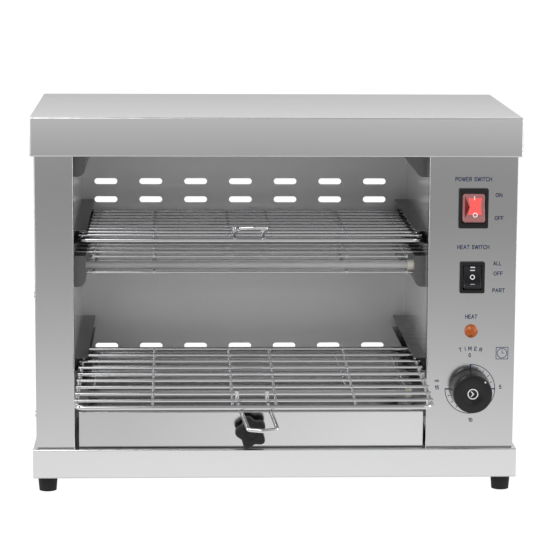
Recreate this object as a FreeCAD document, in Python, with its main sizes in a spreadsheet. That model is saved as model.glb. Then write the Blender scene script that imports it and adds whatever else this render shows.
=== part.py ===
import FreeCAD, Part
import Sketcher
import math
import os
import re

# A counter-top commercial toaster: a stainless cabinet with an open front, two pull-out wire
# racks between three levels of quartz heating tubes, a crumb tray and a control panel on the right.
# Millimetres, +Z up, the front faces -Y. Places are written about the middle of the cabinet,
# and every sub-part is then moved by origin_shift, so that the origin lies on the counter
# under the middle of everything, the drawn-out lower rack included.

SIZES = {
    # Cabinet
    "cabinet_width": 490,
    "cabinet_depth": 260,
    "cabinet_height": 381,
    "sheet": 0.8,
    "hood_skirt": 39.5,
    "hood_overhang": 3.5,
    "front_overhang": 6,
    "base_height": 29.6,
    "post_width": 39,
    "panel_width": 89,
    "return_flange": 12,
    "fold_flange": 10,
    "fold_radius": 1.5,
    "ceiling_drop": 5.2,
    # Feet
    "foot_height": 15,
    "foot_top_radius": 10,
    "foot_bottom_radius": 8.75,
    "foot_inset": 14.3,
    "foot_recess_radius": 5,
    "foot_recess_depth": 9,
    # Slots in the rear wall
    "slot_length": 25,
    "slot_height": 6.5,
    "slot_pitch": 49.2,
    "slot_offset": 5,
    "slot_low_row": 81.5,
    "slot_second_row": 101.5,
    "slot_third_row": 265.5,
    "slot_top_row": 285.5,
    # Rack runners
    "runner_height": 14.2,
    "runner_depth": 13.3,
    "runner_sheet": 0.7,
    "runner_front": 112,
    "runner_slant": 28,
    "upper_runner_bottom": 251.5,
    "lower_runner_bottom": 121.5,
    # Racks
    "rack_side_gap": 4.8,
    "rack_depth": 200,
    "rack_frame_radius": 2.25,
    "rack_bar_radius": 1.5,
    "rack_corner": 8,
    "rack_pitch": 22,
    "rack_rise": 3.45,
    "rack_weld": 0.3,
    "inner_rib_offset": 21,
    "outer_rib_offset": 98,
    "rack_front": 107,
    "upper_rack_float": 0.4,
    "lower_rack_float": 2.8,
    "tip_angle": 5.1,
    "tip_radius": 1511,
    "tip_centre": 8.5,
    # Wire handles of the racks
    "handle_radius": 2,
    "hook_gap": 0.4,
    "hook_half_span": 14.5,
    "hook_tail": 8.5,
    "handle_reach": 37,
    "hook_slope": 30,
    "elbow_radius": 6,
    "handle_rise": 1.3,
    "grip_half_width": 13.9,
    "grip_bow": 2,
    "handle_offset": -2,
    "upper_handle_skew": 4.2,
    "lower_handle_skew": 9.5,
    "lower_arm_slope": 20,
    "upper_handle_lift": 17,
    # Heating levels
    "bracket_depth": 11.5,
    "bracket_height": 32,
    "bracket_corner": 8,
    "bracket_front": 95,
    "bracket_length": 190,
    "low_bracket_bottom": 70.5,
    "middle_bracket_bottom": 205,
    "top_bracket_height": 57.6,
    "tube_radius": 4,
    "tube_wall": 1,
    "tube_lift": 20.3,
    "front_tube": 80,
    "rear_tube": 75,
    "cap_radius": 5.5,
    "right_cap_showing": 6,
    "left_cap_showing": 0.3,
    "cap_length": 11,
    "cap_socket": 4,
    "pin_radius": 1.5,
    "pin_length": 9,
    "coil_radius": 2.2,
    "top_tube_drop": 18,
    "top_guard_drop": 33,
    "guard_bar_radius": 1.25,
    "guard_rib_radius": 1.4,
    "guard_pitch": 25,
    "guard_front": 92,
    "guard_depth": 180,
    "guard_weld": 0.3,
    "guard_rib_inset": 8,
    "guard_seat": 0.05,
    "lower_guard_lift": 15,
    # Crumb tray and its knob
    "tray_left_gap": 4.1,
    "tray_right_gap": 2.6,
    "tray_clearance": 0.5,
    "tray_front_height": 37.1,
    "tray_side_height": 14,
    "tray_back_gap": 8,
    "tray_set_back": 2,
    "tray_fold": 6,
    "tray_knob_height": 64.6,
    "knob_neck_radius": 6.5,
    "knob_neck_length": 9,
    "star_radius": 16,
    "star_lobe_radius": 5,
    "star_waist": 12,
    "star_turn": 107,
    "star_length": 16,
    "star_cap_radius": 5.8,
    "star_cap_rise": 0.8,
    "stud_radius": 3,
    "stud_depth": 16,
    "stud_head_radius": 6,
    "stud_head_height": 4,
    # Control panel
    "power_height": 289.7,
    "power_width": 29.6,
    "power_tall": 40,
    "heat_height": 219.6,
    "heat_width": 25,
    "heat_tall": 31.7,
    "bezel_thickness": 3,
    "bezel_side": 3,
    "power_bezel_end": 5.2,
    "heat_bezel_end": 3.4,
    "bezel_lap": 1.5,
    "bezel_corner": 1.5,
    "switch_depth": 26,
    "switch_floor": 9,
    "rocker_gap": 0.5,
    "rocker_proud": 2.5,
    "rocker_body": 7,
    "rocker_dish": 2.2,
    "rocker_taper": 1.2,
    "rocker_pivot": 1,
    "pin_seat": 0.8,
    "rocker_pin_radius": 1.4,
    "rocker_pin_fit": 0.05,
    "power_rock": 7,
    "heat_rock": 7,
    "terminal_length": 7,
    "terminal_thickness": 0.8,
    "terminal_width": 6.3,
    "lamp_height": 164.7,
    "lamp_radius": 6.7,
    "lamp_dome": 5,
    "lamp_body_radius": 5,
    "lamp_body_length": 24,
    "timer_height": 105,
    "timer_side": 44,
    "timer_depth": 38,
    "timer_knob_radius": 21.5,
    "timer_face_radius": 19.5,
    "timer_knob_length": 26,
    "timer_knob_gap": 1,
    "timer_recess_radius": 10.5,
    "timer_recess_depth": 1.6,
    "shaft_radius": 3,
    "shaft_fit": 0.05,
    "shaft_socket": 14,
    "shaft_end_gap": 1,
    "knob_edge": 1.2,
    # Inside the control compartment
    "block_length": 60,
    "block_width": 22,
    "block_height": 18,
    "block_back": 20,
    "lead_radius": 1.3,
    "lead_bend": 20,
    "gland_height": 80,
    "gland_radius": 11,
    "gland_thread_radius": 8,
    "gland_bore_radius": 4.5,
    "gland_flange": 5,
    "gland_out": 14,
    "gland_in": 9,
    "gland_nut_height": 4,
    # Screws
    "screw_head_radius": 4,
    "screw_head_height": 2.2,
    "screw_radius": 2,
    "screw_length": 8,
    "side_screw_low": 75,
    "side_screw_high": 198,
    "side_screw_inset": 24,
    "hole_clearance": 0.25,
}

doc = FreeCAD.newDocument("toaster")
sheet = doc.addObject("Spreadsheet::Sheet", "Sizes")
for row, (alias, value) in enumerate(SIZES.items(), 1):
    sheet.set(f"A{row}", alias)
    sheet.set(f"B{row}", str(value))
    sheet.setAlias(f"B{row}", alias)
doc.recompute()

# Places worked out from the driving dimensions, as expressions
NOUGHT = "0*sheet"
SIDE = "(cabinet_width/2-hood_overhang)"
HOOD_FRONT = "(-cabinet_depth/2)"
HOOD_BACK = "(cabinet_depth/2)"
HOOD_BOTTOM = "(cabinet_height-hood_skirt)"
HOOD_INSIDE = "(cabinet_height-sheet)"
BASE_TOP = "(foot_height+base_height)"
BODY_FRONT = "(-cabinet_depth/2+front_overhang)"
BODY_BACK = "(cabinet_depth/2-front_overhang)"
OPENING_LEFT = f"(-{SIDE}+post_width)"
OPENING_RIGHT = f"({SIDE}-panel_width)"
WALL_LEFT = f"({OPENING_LEFT}-sheet)"
WALL_RIGHT = f"({OPENING_RIGHT}+sheet)"
CAVITY_MIDDLE = f"(({OPENING_LEFT}+{OPENING_RIGHT})/2)"
CONTROLS = f"(({OPENING_RIGHT}+{SIDE})/2)"
FRONT_SHEET_BACK = f"({BODY_FRONT}+sheet)"
REAR_WALL = f"({BODY_BACK}-sheet)"
CEILING = f"({HOOD_INSIDE}-ceiling_drop)"
RACK_HEIGHT_ABOVE_RUNNER = "(runner_sheet+rack_frame_radius)"
UPPER_RACK_Z = f"(upper_runner_bottom+{RACK_HEIGHT_ABOVE_RUNNER}+upper_rack_float)"
LOWER_RACK_Z = f"(lower_runner_bottom+{RACK_HEIGHT_ABOVE_RUNNER}+lower_rack_float)"
RACK_BARS = 9
FIRST_BAR = f"((rack_depth-{RACK_BARS - 1}*rack_pitch)/2)"
AXIS_Y = "(-tip_centre)"
AXIS_Z = f"({LOWER_RACK_Z}-tip_radius)"
OUT_COS = "cos(tip_angle)"
OUT_SIN = "sin(tip_angle)"
FIRST_BAR_Y = f"(-rack_front+{FIRST_BAR})"
GRIP_Y = f"({FIRST_BAR_Y}-handle_reach-grip_bow)"
GRIP_DROP = (
    "((handle_reach+grip_bow)*tan(lower_arm_slope)"
    "+(rack_bar_radius+handle_radius+hook_gap)/cos(lower_arm_slope))"
)
GRIP_RADIUS = f"(tip_radius+rack_rise-{GRIP_DROP})"
FRONT_REACH = (
    f"(-({AXIS_Y}+({GRIP_Y}-{AXIS_Y})*{OUT_COS}-{GRIP_RADIUS}*{OUT_SIN}-handle_radius))"
)
REAR_REACH = f"({BODY_BACK}+gland_out)"
ORIGIN_SHIFT = f"(({FRONT_REACH}-{REAR_REACH})/2)"


def named(text):
    """Point each size's name in an expression at its cell."""
    return re.sub(r"[a-z][a-z_]+", lambda m: f"Sizes.{m[0]}" if m[0] in SIZES else m[0], str(text))


def bind(thing, path, text):
    thing.setExpression(path, named(text))


probe = doc.addObject("Part::Vertex", "probe")


def number(text):
    """The number that an expression stands for."""
    probe.setExpression("X", named(text))
    probe.recompute()
    return float(probe.X)


def box(name, x, y, z):
    """Block between three (low, high) pairs."""
    solid = doc.addObject("Part::Box", name)
    for side, (low, high) in zip(("Length", "Width", "Height"), (x, y, z)):
        bind(solid, side, f"({high})-({low})")
    for axis, (low, high) in zip("xyz", (x, y, z)):
        bind(solid, f"Placement.Base.{axis}", low)
    return solid


TURNS = {
    "x": FreeCAD.Rotation(FreeCAD.Vector(0, 1, 0), 90),
    "y": FreeCAD.Rotation(FreeCAD.Vector(1, 0, 0), -90),
    "z": FreeCAD.Rotation(),
}


def rod(name, axis, across, span, radius, tip_radius=None):
    """Round bar along an axis: its two other coordinates, (low, high) along it, radius."""
    solid = doc.addObject("Part::Cylinder" if tip_radius is None else "Part::Cone", name)
    solid.Placement = FreeCAD.Placement(FreeCAD.Vector(), TURNS[axis])
    if tip_radius is None:
        bind(solid, "Radius", radius)
    else:
        bind(solid, "Radius1", radius)
        bind(solid, "Radius2", tip_radius)
    bind(solid, "Height", f"({span[1]})-({span[0]})")
    places = dict(zip([letter for letter in "xyz" if letter != axis], across))
    places[axis] = span[0]
    for letter, place in places.items():
        bind(solid, f"Placement.Base.{letter}", place)
    return solid


def fused(name, solids):
    joined = doc.addObject("Part::MultiFuse", name)
    joined.Shapes = solids
    return joined


def cut(name, base, tools):
    """Base less one tool or several."""
    remains = doc.addObject("Part::Cut", name)
    remains.Base = base
    remains.Tool = tools[0] if len(tools) == 1 else fused(f"{name}_tools", tools)
    return remains


def group(name, solids):
    together = doc.addObject("Part::Compound", name)
    together.Links = solids
    return together


def cove(name, axis, edge, into, span, radius):
    """Cutter that rounds a square edge along an axis; into has the signs that lead into the solid."""
    middle = [f"({place}+{sign}*{radius})" for place, sign in zip(edge, into)]
    block = dict(zip([letter for letter in "xyz" if letter != axis], [
        (f"{place}-1", far) if sign > 0 else (far, f"{place}+1")
        for place, sign, far in zip(edge, into, middle)
    ]))
    block[axis] = span
    return cut(name, box(f"{name}_block", *(block[letter] for letter in "xyz")), [
        rod(f"{name}_round", axis, middle, span, radius),
    ])


def rounded_edges(name, x, y, z, radius, skipped=()):
    """Coves for the edges of a block, all but the skipped ones, such as "x front bottom"."""
    sides = {
        "x": ((y[0], 1, "front"), (y[1], -1, "back"), (z[0], 1, "bottom"), (z[1], -1, "top")),
        "y": ((x[0], 1, "left"), (x[1], -1, "right"), (z[0], 1, "bottom"), (z[1], -1, "top")),
        "z": ((x[0], 1, "left"), (x[1], -1, "right"), (y[0], 1, "front"), (y[1], -1, "back")),
    }
    coves = []
    for axis, (low, high) in zip("xyz", (x, y, z)):
        for first in sides[axis][:2]:
            for second in sides[axis][2:]:
                words = f"{axis} {first[2]} {second[2]}"
                if words not in skipped:
                    coves.append(cove(
                        f"{name}_{words.replace(' ', '_')}", axis, (first[0], second[0]),
                        (first[1], second[1]), (f"{low}-1", f"{high}+1"), radius,
                    ))
    return coves


def slot(name, x, z, length, height, y):
    """Round-ended slot through a sheet that faces front and back."""
    half = f"({length}-{height})/2"
    return fused(name, [
        box(f"{name}_middle", (f"{x}-{half}", f"{x}+{half}"), y, (f"{z}-{height}/2", f"{z}+{height}/2")),
        rod(f"{name}_left", "y", (f"{x}-{half}", z), y, f"{height}/2"),
        rod(f"{name}_right", "y", (f"{x}+{half}", z), y, f"{height}/2"),
    ])


def plane(body, role):
    return next(face for face in body.Origin.OriginFeatures if face.Role == role)


def outline(body, name, role, points):
    """Closed outline of straight sides through points given as expressions."""
    sketch = body.newObject("Sketcher::SketchObject", name)
    sketch.AttachmentSupport = [(plane(body, role), "")]
    sketch.MapMode = "FlatFace"
    places = [(number(across), number(up)) for across, up in points]
    corners = [FreeCAD.Vector(across, up, 0) for across, up in places]
    for index, corner in enumerate(corners):
        sketch.addGeometry(Part.LineSegment(corner, corners[(index + 1) % len(corners)]), False)
    for index in range(len(corners)):
        follower = (index + 1) % len(corners)
        sketch.addConstraint(Sketcher.Constraint("Coincident", index, 2, follower, 1))
    for index, (texts, place) in enumerate(zip(points, places)):
        for kind, text, size in zip(("DistanceX", "DistanceY"), texts, place):
            sketch.addConstraint(Sketcher.Constraint(kind, -1, 1, index, 1, size))
            bind(sketch, f"Constraints[{sketch.ConstraintCount - 1}]", text)
    return sketch


def padded(label, role, points, length, place=("0", "0", "0")):
    """Body of one outline drawn out square to its plane, moved to its place."""
    body = doc.addObject("PartDesign::Body", label)
    pad = body.newObject("PartDesign::Pad", f"{label}_pad")
    pad.Profile = outline(body, f"{label}_outline", role, points)
    bind(pad, "Length", length)
    move(body, *place)
    return body


def turned(label, points, place=("0", "0", "0")):
    """Body turned about the Y axis from a half outline of (radius, y) points."""
    body = doc.addObject("PartDesign::Body", label)
    revolution = body.newObject("PartDesign::Revolution", f"{label}_turn")
    revolution.Profile = outline(body, f"{label}_outline", "XY_Plane", points)
    revolution.ReferenceAxis = (revolution.Profile[0], ["V_Axis"])
    revolution.Angle = 360
    move(body, *place)
    return body


def pin_hole(name, axis, across, span, radius):
    """Bore a hole_clearance larger than what passes through it."""
    return rod(name, axis, across, span, f"{radius}+hole_clearance")


def bent_rod(name, points, bends, radius):
    """Round rod along straight runs joined by tangent arcs, one bend radius a corner."""
    edges = []
    start = points[0]
    for before, corner, after, bend in zip(points, points[1:], points[2:], bends):
        into = (corner - before).normalize()
        out = (after - corner).normalize()
        setback = bend * math.tan(into.getAngle(out) / 2)
        arc_start = corner - into * setback
        arc_end = corner + out * setback
        middle = corner + (out - into).normalize() * bend * (1 / math.cos(into.getAngle(out) / 2) - 1)
        edges.append(Part.LineSegment(start, arc_start).toShape())
        edges.append(Part.Arc(arc_start, middle, arc_end).toShape())
        start = arc_end
    edges.append(Part.LineSegment(start, points[-1]).toShape())
    circle = Part.Wire(Part.Circle(points[0], points[1] - points[0], radius).toShape())
    rod_shape = Part.Wire(edges).makePipeShell([circle], True, False, 2)
    bent = doc.addObject("Part::Feature", name)
    bent.Shape = rod_shape
    return bent


def move(thing, across, back, up):
    for axis, text in zip("xyz", (across, back, up)):
        bind(thing, f"Placement.Base.{axis}", text)


def tip_out(thing):
    """Swing a rack piece, drawn pushed in, about the runners' far axis to its drawn-out place."""
    bind(thing, "Placement", (
        f"placement(vector(0; {ORIGIN_SHIFT}+{AXIS_Y}-({AXIS_Y}*{OUT_COS}-{AXIS_Z}*{OUT_SIN});"
        f" {AXIS_Z}-({AXIS_Y}*{OUT_SIN}+{AXIS_Z}*{OUT_COS})); rotation(vector(1; 0; 0); tip_angle))"
    ))


nodes = []


def node(label, thing, back="0"):
    """Keep a finished sub-part under its own name, moved over the origin."""
    thing.Label = label
    bind(thing, "Placement.Base.y", f"{ORIGIN_SHIFT}+{back}")
    nodes.append(thing)
    return thing


# Hood: a five-sided cover whose hem is folded in to the cabinet

CABINET_ACROSS = ("-cabinet_width/2", "cabinet_width/2")
CABINET_ALONG = (HOOD_FRONT, HOOD_BACK)
hood_rise = (HOOD_BOTTOM, "cabinet_height")
hood_outside = box("hood_outside", CABINET_ACROSS, CABINET_ALONG, hood_rise)
hood_folds = rounded_edges("hood", CABINET_ACROSS, CABINET_ALONG, hood_rise, "fold_radius")
hood_hollow = box(
    "hood_hollow",
    ("-cabinet_width/2+sheet", "cabinet_width/2-sheet"),
    (f"{HOOD_FRONT}+sheet", f"{HOOD_BACK}-sheet"),
    (f"{HOOD_BOTTOM}+sheet", HOOD_INSIDE),
)
hood_mouth = box(
    "hood_mouth",
    (f"-{SIDE}-hole_clearance", f"{SIDE}+hole_clearance"),
    (f"{BODY_FRONT}-hole_clearance", f"{BODY_BACK}+hole_clearance"),
    (f"{HOOD_BOTTOM}-sheet", HOOD_INSIDE),
)
node("hood", cut("hood_shell", hood_outside, [hood_hollow, hood_mouth] + hood_folds))


# Base: an upturned pan closed by a plate, on four rubber feet

base_rise = ("foot_height+sheet", BASE_TOP)
base_outside = box("base_outside", CABINET_ACROSS, CABINET_ALONG, base_rise)
BOTTOM_EDGES = ("x front bottom", "x back bottom", "y left bottom", "y right bottom")
base_folds = rounded_edges(
    "base", CABINET_ACROSS, CABINET_ALONG, base_rise, "fold_radius", BOTTOM_EDGES
)
base_hollow = box(
    "base_hollow",
    ("-cabinet_width/2+sheet", "cabinet_width/2-sheet"),
    (f"{HOOD_FRONT}+sheet", f"{HOOD_BACK}-sheet"),
    ("foot_height", f"{BASE_TOP}-sheet"),
)
node("base_pan", cut("base_pan_shell", base_outside, [base_hollow] + base_folds))

FOOT_X = "(cabinet_width/2-foot_inset)"
FOOT_Y = "(cabinet_depth/2-foot_inset)"
foot_places = {
    "front_left": (f"-{FOOT_X}", f"-{FOOT_Y}"),
    "front_right": (FOOT_X, f"-{FOOT_Y}"),
    "rear_left": (f"-{FOOT_X}", FOOT_Y),
    "rear_right": (FOOT_X, FOOT_Y),
}
plate_rise = ("foot_height", "foot_height+sheet")
plate = box("plate", CABINET_ACROSS, CABINET_ALONG, plate_rise)
plate_corners = rounded_edges("plate", CABINET_ACROSS, CABINET_ALONG, plate_rise, "fold_radius", (
    *BOTTOM_EDGES, "x front top", "x back top", "y left top", "y right top",
))
plate_holes = [
    pin_hole(f"plate_hole_{corner}", "z", place, ("foot_height-1", "foot_height+sheet+1"), "screw_radius")
    for corner, place in foot_places.items()
]
node("bottom_plate", cut("bottom_plate_drilled", plate, plate_holes + plate_corners))

foot_screws = []
foot_nuts = []
for corner, place in foot_places.items():
    rubber = rod(
        f"rubber_{corner}", "z", place, ("0", "foot_height"), "foot_bottom_radius", "foot_top_radius"
    )
    recess = rod(f"recess_{corner}", "z", place, ("-1", "foot_recess_depth"), "foot_recess_radius")
    bore = pin_hole(f"foot_bore_{corner}", "z", place, ("0", "foot_height+1"), "screw_radius")
    node(f"foot_{corner}", cut(f"foot_{corner}_bored", rubber, [recess, bore]))
    screw_top = "foot_height+sheet+screw_length-1"
    foot_screws.append(fused(f"foot_screw_{corner}", [
        rod(
            f"foot_screw_head_{corner}", "z", place,
            ("foot_recess_depth-screw_head_height", "foot_recess_depth"), "screw_head_radius",
        ),
        rod(f"foot_screw_shank_{corner}", "z", place, ("foot_recess_depth", screw_top), "screw_radius"),
    ]))
    nut = doc.addObject("Part::Prism", f"foot_nut_{corner}")
    nut.Polygon = 6
    bind(nut, "Circumradius", "screw_head_radius")
    bind(nut, "Height", "screw_head_height+1")
    move(nut, place[0], place[1], "foot_height+sheet")
    nut_bore = rod(
        f"foot_nut_bore_{corner}", "z", place, ("foot_height", screw_top), "screw_radius+shaft_fit"
    )
    foot_nuts.append(cut(f"foot_nut_bored_{corner}", nut, [nut_bore]))
node("foot_screws", group("foot_screw_set", foot_screws))
node("foot_nuts", group("foot_nut_set", foot_nuts))


# Side panels: the left one folds round into the front post, the right one backs the control panel

REAR_SCREW_X = f"({SIDE}-fold_flange/2-sheet/2)"
REAR_SCREW_PLACES = [
    (f"{side}*{REAR_SCREW_X}", height)
    for side in (-1, 1)
    for height in ("side_screw_low", "side_screw_high", f"{HOOD_BOTTOM}-side_screw_inset")
]
SIDE_SCREW_FRONT = f"({BODY_FRONT}+side_screw_inset)"
SIDE_SCREW_BACK = f"({BODY_BACK}-side_screw_inset)"
SIDE_SCREW_PLACES = [
    (along, height)
    for along in (SIDE_SCREW_FRONT, SIDE_SCREW_BACK)
    for height in ("side_screw_low", "side_screw_high")
]
CABINET_RISE = (BASE_TOP, HOOD_INSIDE)


def side_panel(name, side, folds, coves=()):
    """Outer sheet with top, bottom and rear flanges, and the screw holes; side is -1 or 1."""
    outer, inner = f"{side}*{SIDE}", f"{side}*({SIDE}-sheet)"
    flange = f"{side}*({SIDE}-fold_flange)"
    across_sheet = (outer, inner) if side < 0 else (inner, outer)
    across_flange = (outer, flange) if side < 0 else (flange, outer)
    along = (BODY_FRONT, REAR_WALL) if side < 0 else (FRONT_SHEET_BACK, REAR_WALL)
    sheets = [
        box(f"{name}_sheet", across_sheet, along, CABINET_RISE),
        box(f"{name}_foot_fold", across_flange, along, (BASE_TOP, f"{BASE_TOP}+sheet")),
        box(f"{name}_top_fold", across_flange, along, (f"{HOOD_INSIDE}-sheet", HOOD_INSIDE)),
        box(f"{name}_rear_fold", across_flange, (f"{REAR_WALL}-sheet", REAR_WALL), CABINET_RISE),
    ]
    through = (f"{side}*{SIDE}-2*sheet", f"{side}*{SIDE}+2*sheet")
    holes = [
        pin_hole(f"{name}_hole_{index}", "x", place, through, "screw_radius")
        for index, place in enumerate(SIDE_SCREW_PLACES)
    ]
    rear_through = (f"{REAR_WALL}-2*sheet", f"{REAR_WALL}+1")
    holes += [
        pin_hole(f"{name}_rear_hole_{index}", "y", place, rear_through, "screw_radius")
        for index, place in enumerate(REAR_SCREW_PLACES)
        if place[0].startswith(f"{side}*")
    ]
    return cut(f"{name}_drilled", fused(f"{name}_folded", sheets + folds), holes + list(coves))


post = box(
    "post", (f"-{SIDE}", OPENING_LEFT), (BODY_FRONT, FRONT_SHEET_BACK), CABINET_RISE
)
RETURN_RISE = (BASE_TOP, CEILING)
ROUNDED_RISE = (f"{BASE_TOP}-1", f"{HOOD_INSIDE}+1")
post_return = box(
    "post_return", (WALL_LEFT, OPENING_LEFT), (BODY_FRONT, f"{BODY_FRONT}+return_flange"), RETURN_RISE
)
left_panel = side_panel("left_panel", -1, [post, post_return], [
    cove("post_outer_fold", "z", (f"-{SIDE}", BODY_FRONT), (1, 1), ROUNDED_RISE, "fold_radius"),
    cove("post_inner_fold", "z", (OPENING_LEFT, BODY_FRONT), (-1, 1), ROUNDED_RISE, "fold_radius"),
])
node("left_side_panel", left_panel)

right_lap = box(
    "right_lap", (f"{SIDE}-fold_flange", SIDE), (FRONT_SHEET_BACK, f"{FRONT_SHEET_BACK}+sheet"), CABINET_RISE
)
node("right_side_panel", side_panel("right_panel", 1, [right_lap]))

side_screws = []
for side, word in ((-1, "left"), (1, "right")):
    for index, place in enumerate(SIDE_SCREW_PLACES):
        head = (f"{side}*{SIDE}", f"{side}*({SIDE}+screw_head_height)")
        shank = (f"{side}*({SIDE}-screw_length)", f"{side}*{SIDE}")
        tip = "screw_head_radius-1.2"
        side_screws.append(fused(f"{word}_screw_{index}", [
            rod(f"{word}_screw_head_{index}", "x", place, head if side > 0 else head[::-1],
                "screw_head_radius" if side > 0 else tip, tip if side > 0 else "screw_head_radius"),
            rod(f"{word}_screw_shank_{index}", "x", place, shank if side > 0 else shank[::-1],
                "screw_radius"),
        ]))
node("side_screws", group("side_screw_set", side_screws))


# Rear panel with the vent slots and the cable entry

SLOTS = 7
SLOT_ROWS = ("slot_low_row", "slot_second_row", "slot_third_row", "slot_top_row")
rear_sheet = box("rear_sheet", (f"-{SIDE}", SIDE), (REAR_WALL, BODY_BACK), CABINET_RISE)
through_rear = (f"{REAR_WALL}-1", f"{BODY_BACK}+1")
slots = [
    slot(f"slot_{row}_{column}", f"{CAVITY_MIDDLE}-slot_offset+{column - SLOTS // 2}*slot_pitch",
         height, "slot_length", "slot_height", through_rear)
    for row, height in enumerate(SLOT_ROWS)
    for column in range(SLOTS)
]
rear_holes = [
    pin_hole(f"rear_hole_{index}", "y", place, through_rear, "screw_radius")
    for index, place in enumerate(REAR_SCREW_PLACES)
]
entry = pin_hole("entry", "y", (CONTROLS, "gland_height"), through_rear, "gland_thread_radius")
node("rear_panel", cut("rear_panel_cut", rear_sheet, slots + rear_holes + [entry]))

rear_screws = []
for index, place in enumerate(REAR_SCREW_PLACES):
    rear_screws.append(fused(f"rear_screw_{index}", [
        rod(f"rear_screw_head_{index}", "y", place, (BODY_BACK, f"{BODY_BACK}+screw_head_height"),
            "screw_head_radius", "screw_head_radius-1.2"),
        rod(f"rear_screw_shank_{index}", "y", place, (f"{BODY_BACK}-screw_length", BODY_BACK),
            "screw_radius"),
    ]))
node("rear_screws", group("rear_screw_set", rear_screws))


# Cavity: side walls and ceiling between the two compartments

LEVELS = {
    "low": ("low_bracket_bottom", "bracket_height", "low_bracket_bottom+tube_lift"),
    "middle": ("middle_bracket_bottom", "bracket_height", "middle_bracket_bottom+tube_lift"),
    "top": (f"({CEILING}-top_bracket_height)", "top_bracket_height", f"({CEILING}-top_tube_drop)"),
}
TUBE_ROWS = {"front": "-front_tube", "rear": "rear_tube"}
TUBE_PLACES = [(along, height) for _, _, height in LEVELS.values() for along in TUBE_ROWS.values()]
CAVITY_DEPTH = (FRONT_SHEET_BACK, REAR_WALL)

for side, word, inner in ((-1, "left", WALL_LEFT), (1, "right", WALL_RIGHT)):
    outer = f"({inner}{'-' if side < 0 else '+'}sheet)"
    across = (outer, inner) if side < 0 else (inner, outer)
    wall = box(f"{word}_wall", across, CAVITY_DEPTH, (BASE_TOP, CEILING))
    through = (f"{inner}-2*sheet", f"{inner}+2*sheet")
    wall_holes = [
        pin_hole(f"{word}_wall_hole_{index}", "x", place, through, "pin_radius+hole_clearance")
        for index, place in enumerate(TUBE_PLACES)
    ]
    node(f"cavity_{word}_wall", cut(f"{word}_wall_drilled", wall, wall_holes))

CEILING_WIDTH = (f"{WALL_LEFT}-sheet", f"{WALL_RIGHT}+sheet")
node("cavity_ceiling", fused("ceiling_folded", [
    box("ceiling_sheet", CEILING_WIDTH, CAVITY_DEPTH, (CEILING, f"{CEILING}+sheet")),
    box("ceiling_front_fold", CEILING_WIDTH, (FRONT_SHEET_BACK, f"{FRONT_SHEET_BACK}+sheet"),
        (CEILING, HOOD_INSIDE)),
]))


# Rack runners: channels open towards the rack, the lower lip slanted off at the front

RUNNERS = {"upper": "upper_runner_bottom", "lower": "lower_runner_bottom"}
for level, bottom in RUNNERS.items():
    for side, word, wall in ((-1, "left", WALL_LEFT), (1, "right", WALL_RIGHT)):
        web = f"({wall}-{side}*runner_sheet)"
        lip = f"({wall}-{side}*runner_depth)"
        top = f"({bottom}+runner_height)"
        name = f"{level}_{word}_runner"
        channel = padded(f"{name}_channel", "XZ_Plane", [
            (wall, bottom), (lip, bottom), (lip, f"{bottom}+runner_sheet"),
            (web, f"{bottom}+runner_sheet"), (web, f"{top}-runner_sheet"),
            (lip, f"{top}-runner_sheet"), (lip, top), (wall, top),
        ], f"{REAR_WALL}+runner_front", ("0", REAR_WALL, "0"))
        slant = padded(f"{name}_slant", "XY_Plane", [
            (web, "-runner_front"), (f"{web}-{side}*runner_depth", "-runner_front"),
            (f"{web}-{side}*runner_depth", "-runner_front+runner_slant"),
        ], "runner_sheet+1", ("0", "-hole_clearance", f"{bottom}-1"))
        node(name, cut(f"{name}_cut", channel, [slant]))


# Racks: a frame wire with rounded corners, nine bars on top of it and four ribs under the bars

RACK_EDGE = f"(({WALL_RIGHT}-{WALL_LEFT})/2-rack_side_gap)"
RACK_LINE = f"({RACK_EDGE}-rack_frame_radius)"
RACK_BACK = "(-rack_front+rack_depth)"
RIB_OFFSETS = ("-outer_rib_offset", "-inner_rib_offset", "inner_rib_offset", "outer_rib_offset")


def wire_rack(name, height):
    """Rack in its pushed-in place, the frame wire's middle at the given height."""
    left, right = f"({CAVITY_MIDDLE}-{RACK_LINE})", f"({CAVITY_MIDDLE}+{RACK_LINE})"
    near_left, near_right = f"({left}+rack_corner)", f"({right}-rack_corner)"
    front, back = "(-rack_front)", RACK_BACK
    near_front, near_back = f"({front}+rack_corner)", f"({back}-rack_corner)"
    wires = [
        rod(f"{name}_front", "x", (front, height), (near_left, near_right), "rack_frame_radius"),
        rod(f"{name}_back", "x", (back, height), (near_left, near_right), "rack_frame_radius"),
        rod(f"{name}_left", "y", (left, height), (near_front, near_back), "rack_frame_radius"),
        rod(f"{name}_right", "y", (right, height), (near_front, near_back), "rack_frame_radius"),
    ]
    corners = ((near_right, near_back), (near_left, near_back), (near_left, near_front),
               (near_right, near_front))
    for quarter, (across, along) in enumerate(corners):
        bend = doc.addObject("Part::Torus", f"{name}_corner_{quarter}")
        bend.Angle3 = 90
        bend.Placement = FreeCAD.Placement(
            FreeCAD.Vector(), FreeCAD.Rotation(FreeCAD.Vector(0, 0, 1), 90 * quarter)
        )
        bind(bend, "Radius1", "rack_corner")
        bind(bend, "Radius2", "rack_frame_radius")
        move(bend, across, along, height)
        wires.append(bend)
    for index in range(RACK_BARS):
        wires.append(rod(
            f"{name}_bar_{index}", "x",
            (f"{FIRST_BAR_Y}+{index}*rack_pitch", f"{height}+rack_rise"),
            (f"{CAVITY_MIDDLE}-{RACK_EDGE}", f"{CAVITY_MIDDLE}+{RACK_EDGE}"), "rack_bar_radius",
        ))
    for index, offset in enumerate(RIB_OFFSETS):
        wires.append(rod(
            f"{name}_rib_{index}", "y",
            (f"{CAVITY_MIDDLE}+{offset}", f"{height}+rack_rise-2*rack_bar_radius+rack_weld"),
            (front, back), "rack_bar_radius",
        ))
    return fused(name, wires)


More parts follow.
